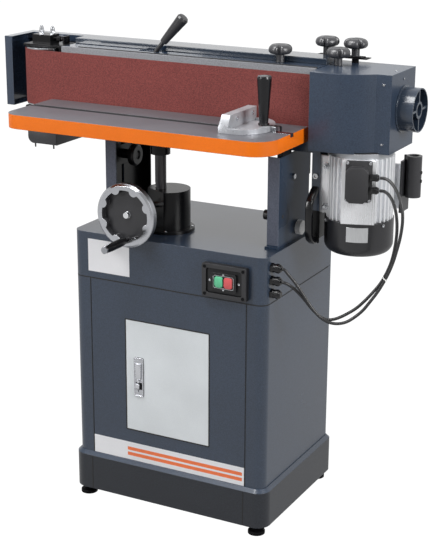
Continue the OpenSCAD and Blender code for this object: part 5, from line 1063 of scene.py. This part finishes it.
def grown(name, points, vectors, tree, values):
    data = bpy.data.meshes.new(name)
    data.from_pydata([tuple(p) for p in points], [], [])
    data.attributes.new("facing", "FLOAT_VECTOR", "POINT").data.foreach_set(
        "vector", [c for vector in vectors for c in vector])
    seed = bpy.data.objects.new(name + "_points", data)
    scene.collection.objects.link(seed)
    modifier = seed.modifiers.new(name, "NODES")
    modifier.node_group = tree
    for item in tree.interface.items_tree:
        if item.item_type == "SOCKET" and item.in_out == "INPUT" and item.name in values:
            modifier[item.identifier] = values[item.name]
    made = bpy.data.meshes.new_from_object(seed.evaluated_get(bpy.context.evaluated_depsgraph_get()))
    bpy.data.objects.remove(seed)
    return made


def screws(name, body, slot, finish, towards, places, radius, height, sides, socket):
    outs = [Vector(towards(p) if callable(towards) else towards).normalized() for p in places]
    points = [Vector(p) + out * height / 2 for p, out in zip(places, outs)]
    mesh = grown(name, points, outs, fixing,
                 {"Radius": radius, "Height": height, "Sides": sides, "Socket": socket, "Finish": finish})
    piece(name, mesh, body, slot, finish)


def from_motor(place):
    return place[0] - MOTOR_X, place[1] - MOTOR_Y, 0


TO_FRONT, TO_RIGHT, TO_HOUSING_FRONT = (0, -1, 0), (1, 0, 0), (-0.3, -1, 0)
FOOT_BOLT_X, FOOT_BOLTS_Z, FOOT_STUD_Y = 0.376, (0.984, 0.880), -0.0600
FAN_SCREW_RADIUS, FAN_SCREW_Z = 0.0880, 0.8440
LIP_BOLT = (0.350, -0.0600, 0.956)
BOX_SCREW_PLACE, SWITCH_SCREW_PLACE, PANEL_SCREW_U = (0.028, 0.047), (0.0545, 0.036), 0.0415
HOUSING_SCREW_X, HOUSING_SCREW_Y, HOUSING_SCREWS_Z = -0.098, -0.131, (0.850, 0.800)
FENCE_FACE_X, FENCE_SCREWS_V, FENCE_SCREW_Z = 0.1900, (-0.028, 0.060), 1.1085
TUBE_FACE_X, TUBE_SCREW_Y, TUBE_SCREWS_Z = 0.583, 0.064, (0.943, 0.965)


def four_corners(right, up):
    return [(u, v) for u in (-right, right) for v in (-up, up)]


box_corners = [box_at(u, v, BOX_BASE_TO) for u, v in four_corners(*BOX_SCREW_PLACE)]
foot_bolts = [(FOOT_BOLT_X, -FOOT_FAR, z) for z in FOOT_BOLTS_Z]
foot_ends = [(FOOT_BOLT_X, FOOT_STUD_Y, z) for z in FOOT_BOLTS_Z]
cover_sides = [motor_at(FAN_SCREW_RADIUS * math.cos(a), FAN_SCREW_RADIUS * math.sin(a), FAN_SCREW_Z)
               for a in map(math.radians, (-26, 64, 154, 221))]
switch_corners = [switch_at(u, v, FRAME_HIGH) for u, v in four_corners(*SWITCH_SCREW_PLACE)]
switch_sides = [switch_at(u, 0.0, 0.0) for u in (-PANEL_SCREW_U, PANEL_SCREW_U)]
housing_side = [(HOUSING_SCREW_X, HOUSING_SCREW_Y, z) for z in HOUSING_SCREWS_Z]
fence_side = [(FENCE_FACE_X, mitre_y + v, FENCE_SCREW_Z) for v in FENCE_SCREWS_V]
tube_side = [(TUBE_FACE_X, TUBE_SCREW_Y, z) for z in TUBE_SCREWS_Z]
zinc = "bright_steel", bright_steel
dress(bright_steel, "stand_fasteners", "head_fasteners")
# Each line ends with the radius and height of the head, its sides and the socket's share of it.
screws("terminal_screws", "head", *zinc, seat_out, box_corners, 0.0040, 0.0026, 20, 0.5)
screws("foot_nuts", "head", *zinc, TO_FRONT, foot_bolts, 0.0085, 0.0075, 6, 0.55)
screws("foot_studs", "head", *zinc, TO_FRONT, foot_ends, 0.0040, 0.0080, 16, 0.3)
screws("lip_bolt", "head", *zinc, TO_FRONT, [LIP_BOLT], 0.0080, 0.0060, 6, 0.55)
screws("fan_cover_screws", "head", *zinc, from_motor, cover_sides, 0.0042, 0.0030, 20, 0.5)
# The switch's corner screws are matt black without shine: painted shade in the holes they sit in.
screws("switch_corner_hole_shade", "stand", "black_plastic", matt_black, TO_FRONT, switch_corners,
       0.0045, 0.0010, 20, 0.7)
screws("switch_panel_screws", "stand", *zinc, TO_FRONT, switch_sides, 0.0032, 0.0012, 20, 0.5)
screws("lift_housing_screws", "stand", *zinc, TO_HOUSING_FRONT, housing_side, 0.0035, 0.0025, 20, 0.5)
# The fence screws take the lock chrome, whose pale colour partly shows as painted reflection.
screws("fence_screws", "mitre_head", "bright_steel", lock_chrome_painted_shine, TO_RIGHT, fence_side,
       0.0058, 0.0022, 24, 0.45)
screws("tube_set_screws", "head", "black_steel", black_steel, TO_RIGHT, tube_side, 0.0045, 0.0016, 20, 0.6)

# Floor, world and studio lamps
# A white sweep that keeps a soft shadow, a bright backdrop behind the machine, one broad lamp
# overhead, a soft wall of light on the right and a weaker one front left.
FLOOR_HALF, FLOOR_Z = 30.0, -0.0005
FLOOR_GLOW, SEEN_SHARE, MIRRORED_SHARE = 1.2, 0.86, 0.42
floor_mesh = bpy.data.meshes.new("floor")
floor_line = rect(-FLOOR_HALF, FLOOR_HALF, -FLOOR_HALF, FLOOR_HALF)
floor_mesh.from_pydata([(u, v, FLOOR_Z) for u, v in floor_line], [], [(0, 1, 2, 3)])
floor = bpy.data.objects.new("floor", floor_mesh)
scene.collection.objects.link(floor)
floor_paper = bpy.data.materials.new("Floor paper")
floor_paper.use_nodes = True
tree = floor_paper.node_tree
paper = tree.nodes["Principled BSDF"]
paper.inputs["Base Color"].default_value = (0.24, 0.24, 0.24, 1)
paper.inputs["Roughness"].default_value = 0.8
white = add_node(tree, "ShaderNodeEmission", Strength=FLOOR_GLOW)


def seen_and_mirrored(tree):
    ray = add_node(tree, "ShaderNodeLightPath").outputs
    return math_node(tree, "MAXIMUM", ray["Is Camera Ray"], ray["Is Transmission Ray"]), ray["Is Glossy Ray"]


seen, mirrored = seen_and_mirrored(tree)
share = math_node(tree, "MAXIMUM", math_node(tree, "MULTIPLY", seen, SEEN_SHARE),
                  math_node(tree, "MULTIPLY", mirrored, MIRRORED_SHARE))
tree.links.new(layered(tree, share, paper.outputs["BSDF"], white.outputs["Emission"]),
               tree.nodes["Material Output"].inputs["Surface"])
floor_mesh.materials.append(floor_paper)
world = bpy.data.worlds.new("Studio")
world.use_nodes = True
scene.world = world
tree = world.node_tree
around = add_node(tree, "ShaderNodeTexCoord").outputs["Generated"]
depth = add_node(tree, "ShaderNodeSeparateXYZ", Vector=around).outputs["Y"]
seen, mirrored = seen_and_mirrored(tree)
mirrored = math_node(tree, "MULTIPLY", mirrored, ranged(tree, depth, -0.4, 0.6, 0.45, 1.0))
strength = math_node(tree, "MAXIMUM", math_node(tree, "MAXIMUM", seen, mirrored),
                     ranged(tree, depth, -0.2, 0.6, 0.10, 0.88))
tree.links.new(strength, tree.nodes["Background"].inputs["Strength"])
tree.nodes["Background"].inputs["Color"].default_value = (1, 1, 1, 1)


def lamp(name, place, aim, size, power):
    data = bpy.data.lights.new(name, "AREA")
    data.shape = "RECTANGLE"
    data.size, data.size_y = size
    data.energy = power
    made = bpy.data.objects.new(name, data)
    scene.collection.objects.link(made)
    made.location = place
    made.rotation_mode = "QUATERNION"
    made.rotation_quaternion = (Vector(aim) - Vector(place)).to_track_quat("-Z", "Y")


lamp("overhead", (-0.6, -1.1, 3.4), (0, 0, 0.9), (1.8, 1.4), 96)
lamp("right_wall", (3.2, -0.9, 2.3), (0.2, 0, 0.9), (1.3, 1.6), 100)
lamp("front_left", (-2.4, -3.3, 2.3), (0, 0, 0.7), (1.1, 1.8), 88)

# Camera
# One long lens, standing front right of the machine and a little above its table, found by
# fitting the machine's straight edges.
IMAGE_HEIGHT, FOCAL_PIXELS, SENSOR = 550, 1410.1, 36.0
camera_data = bpy.data.cameras.new("camera")
camera_data.sensor_width = SENSOR
camera_data.lens = FOCAL_PIXELS * SENSOR / IMAGE_HEIGHT
camera_data.clip_end = 100.0
camera = bpy.data.objects.new("camera", camera_data)
scene.collection.objects.link(camera)
turn, tilt, roll = math.radians(27.80), math.radians(17.615), math.radians(0.27)
view_back = Vector((math.sin(turn) * math.cos(tilt), -math.cos(turn) * math.cos(tilt), math.sin(tilt)))
camera.location = (1.7403, -3.2316, 1.7899)
camera.rotation_mode = "QUATERNION"
camera.rotation_quaternion = (-view_back).to_track_quat("-Z", "Y") @ Quaternion((0, 0, 1), roll)
scene.camera = camera
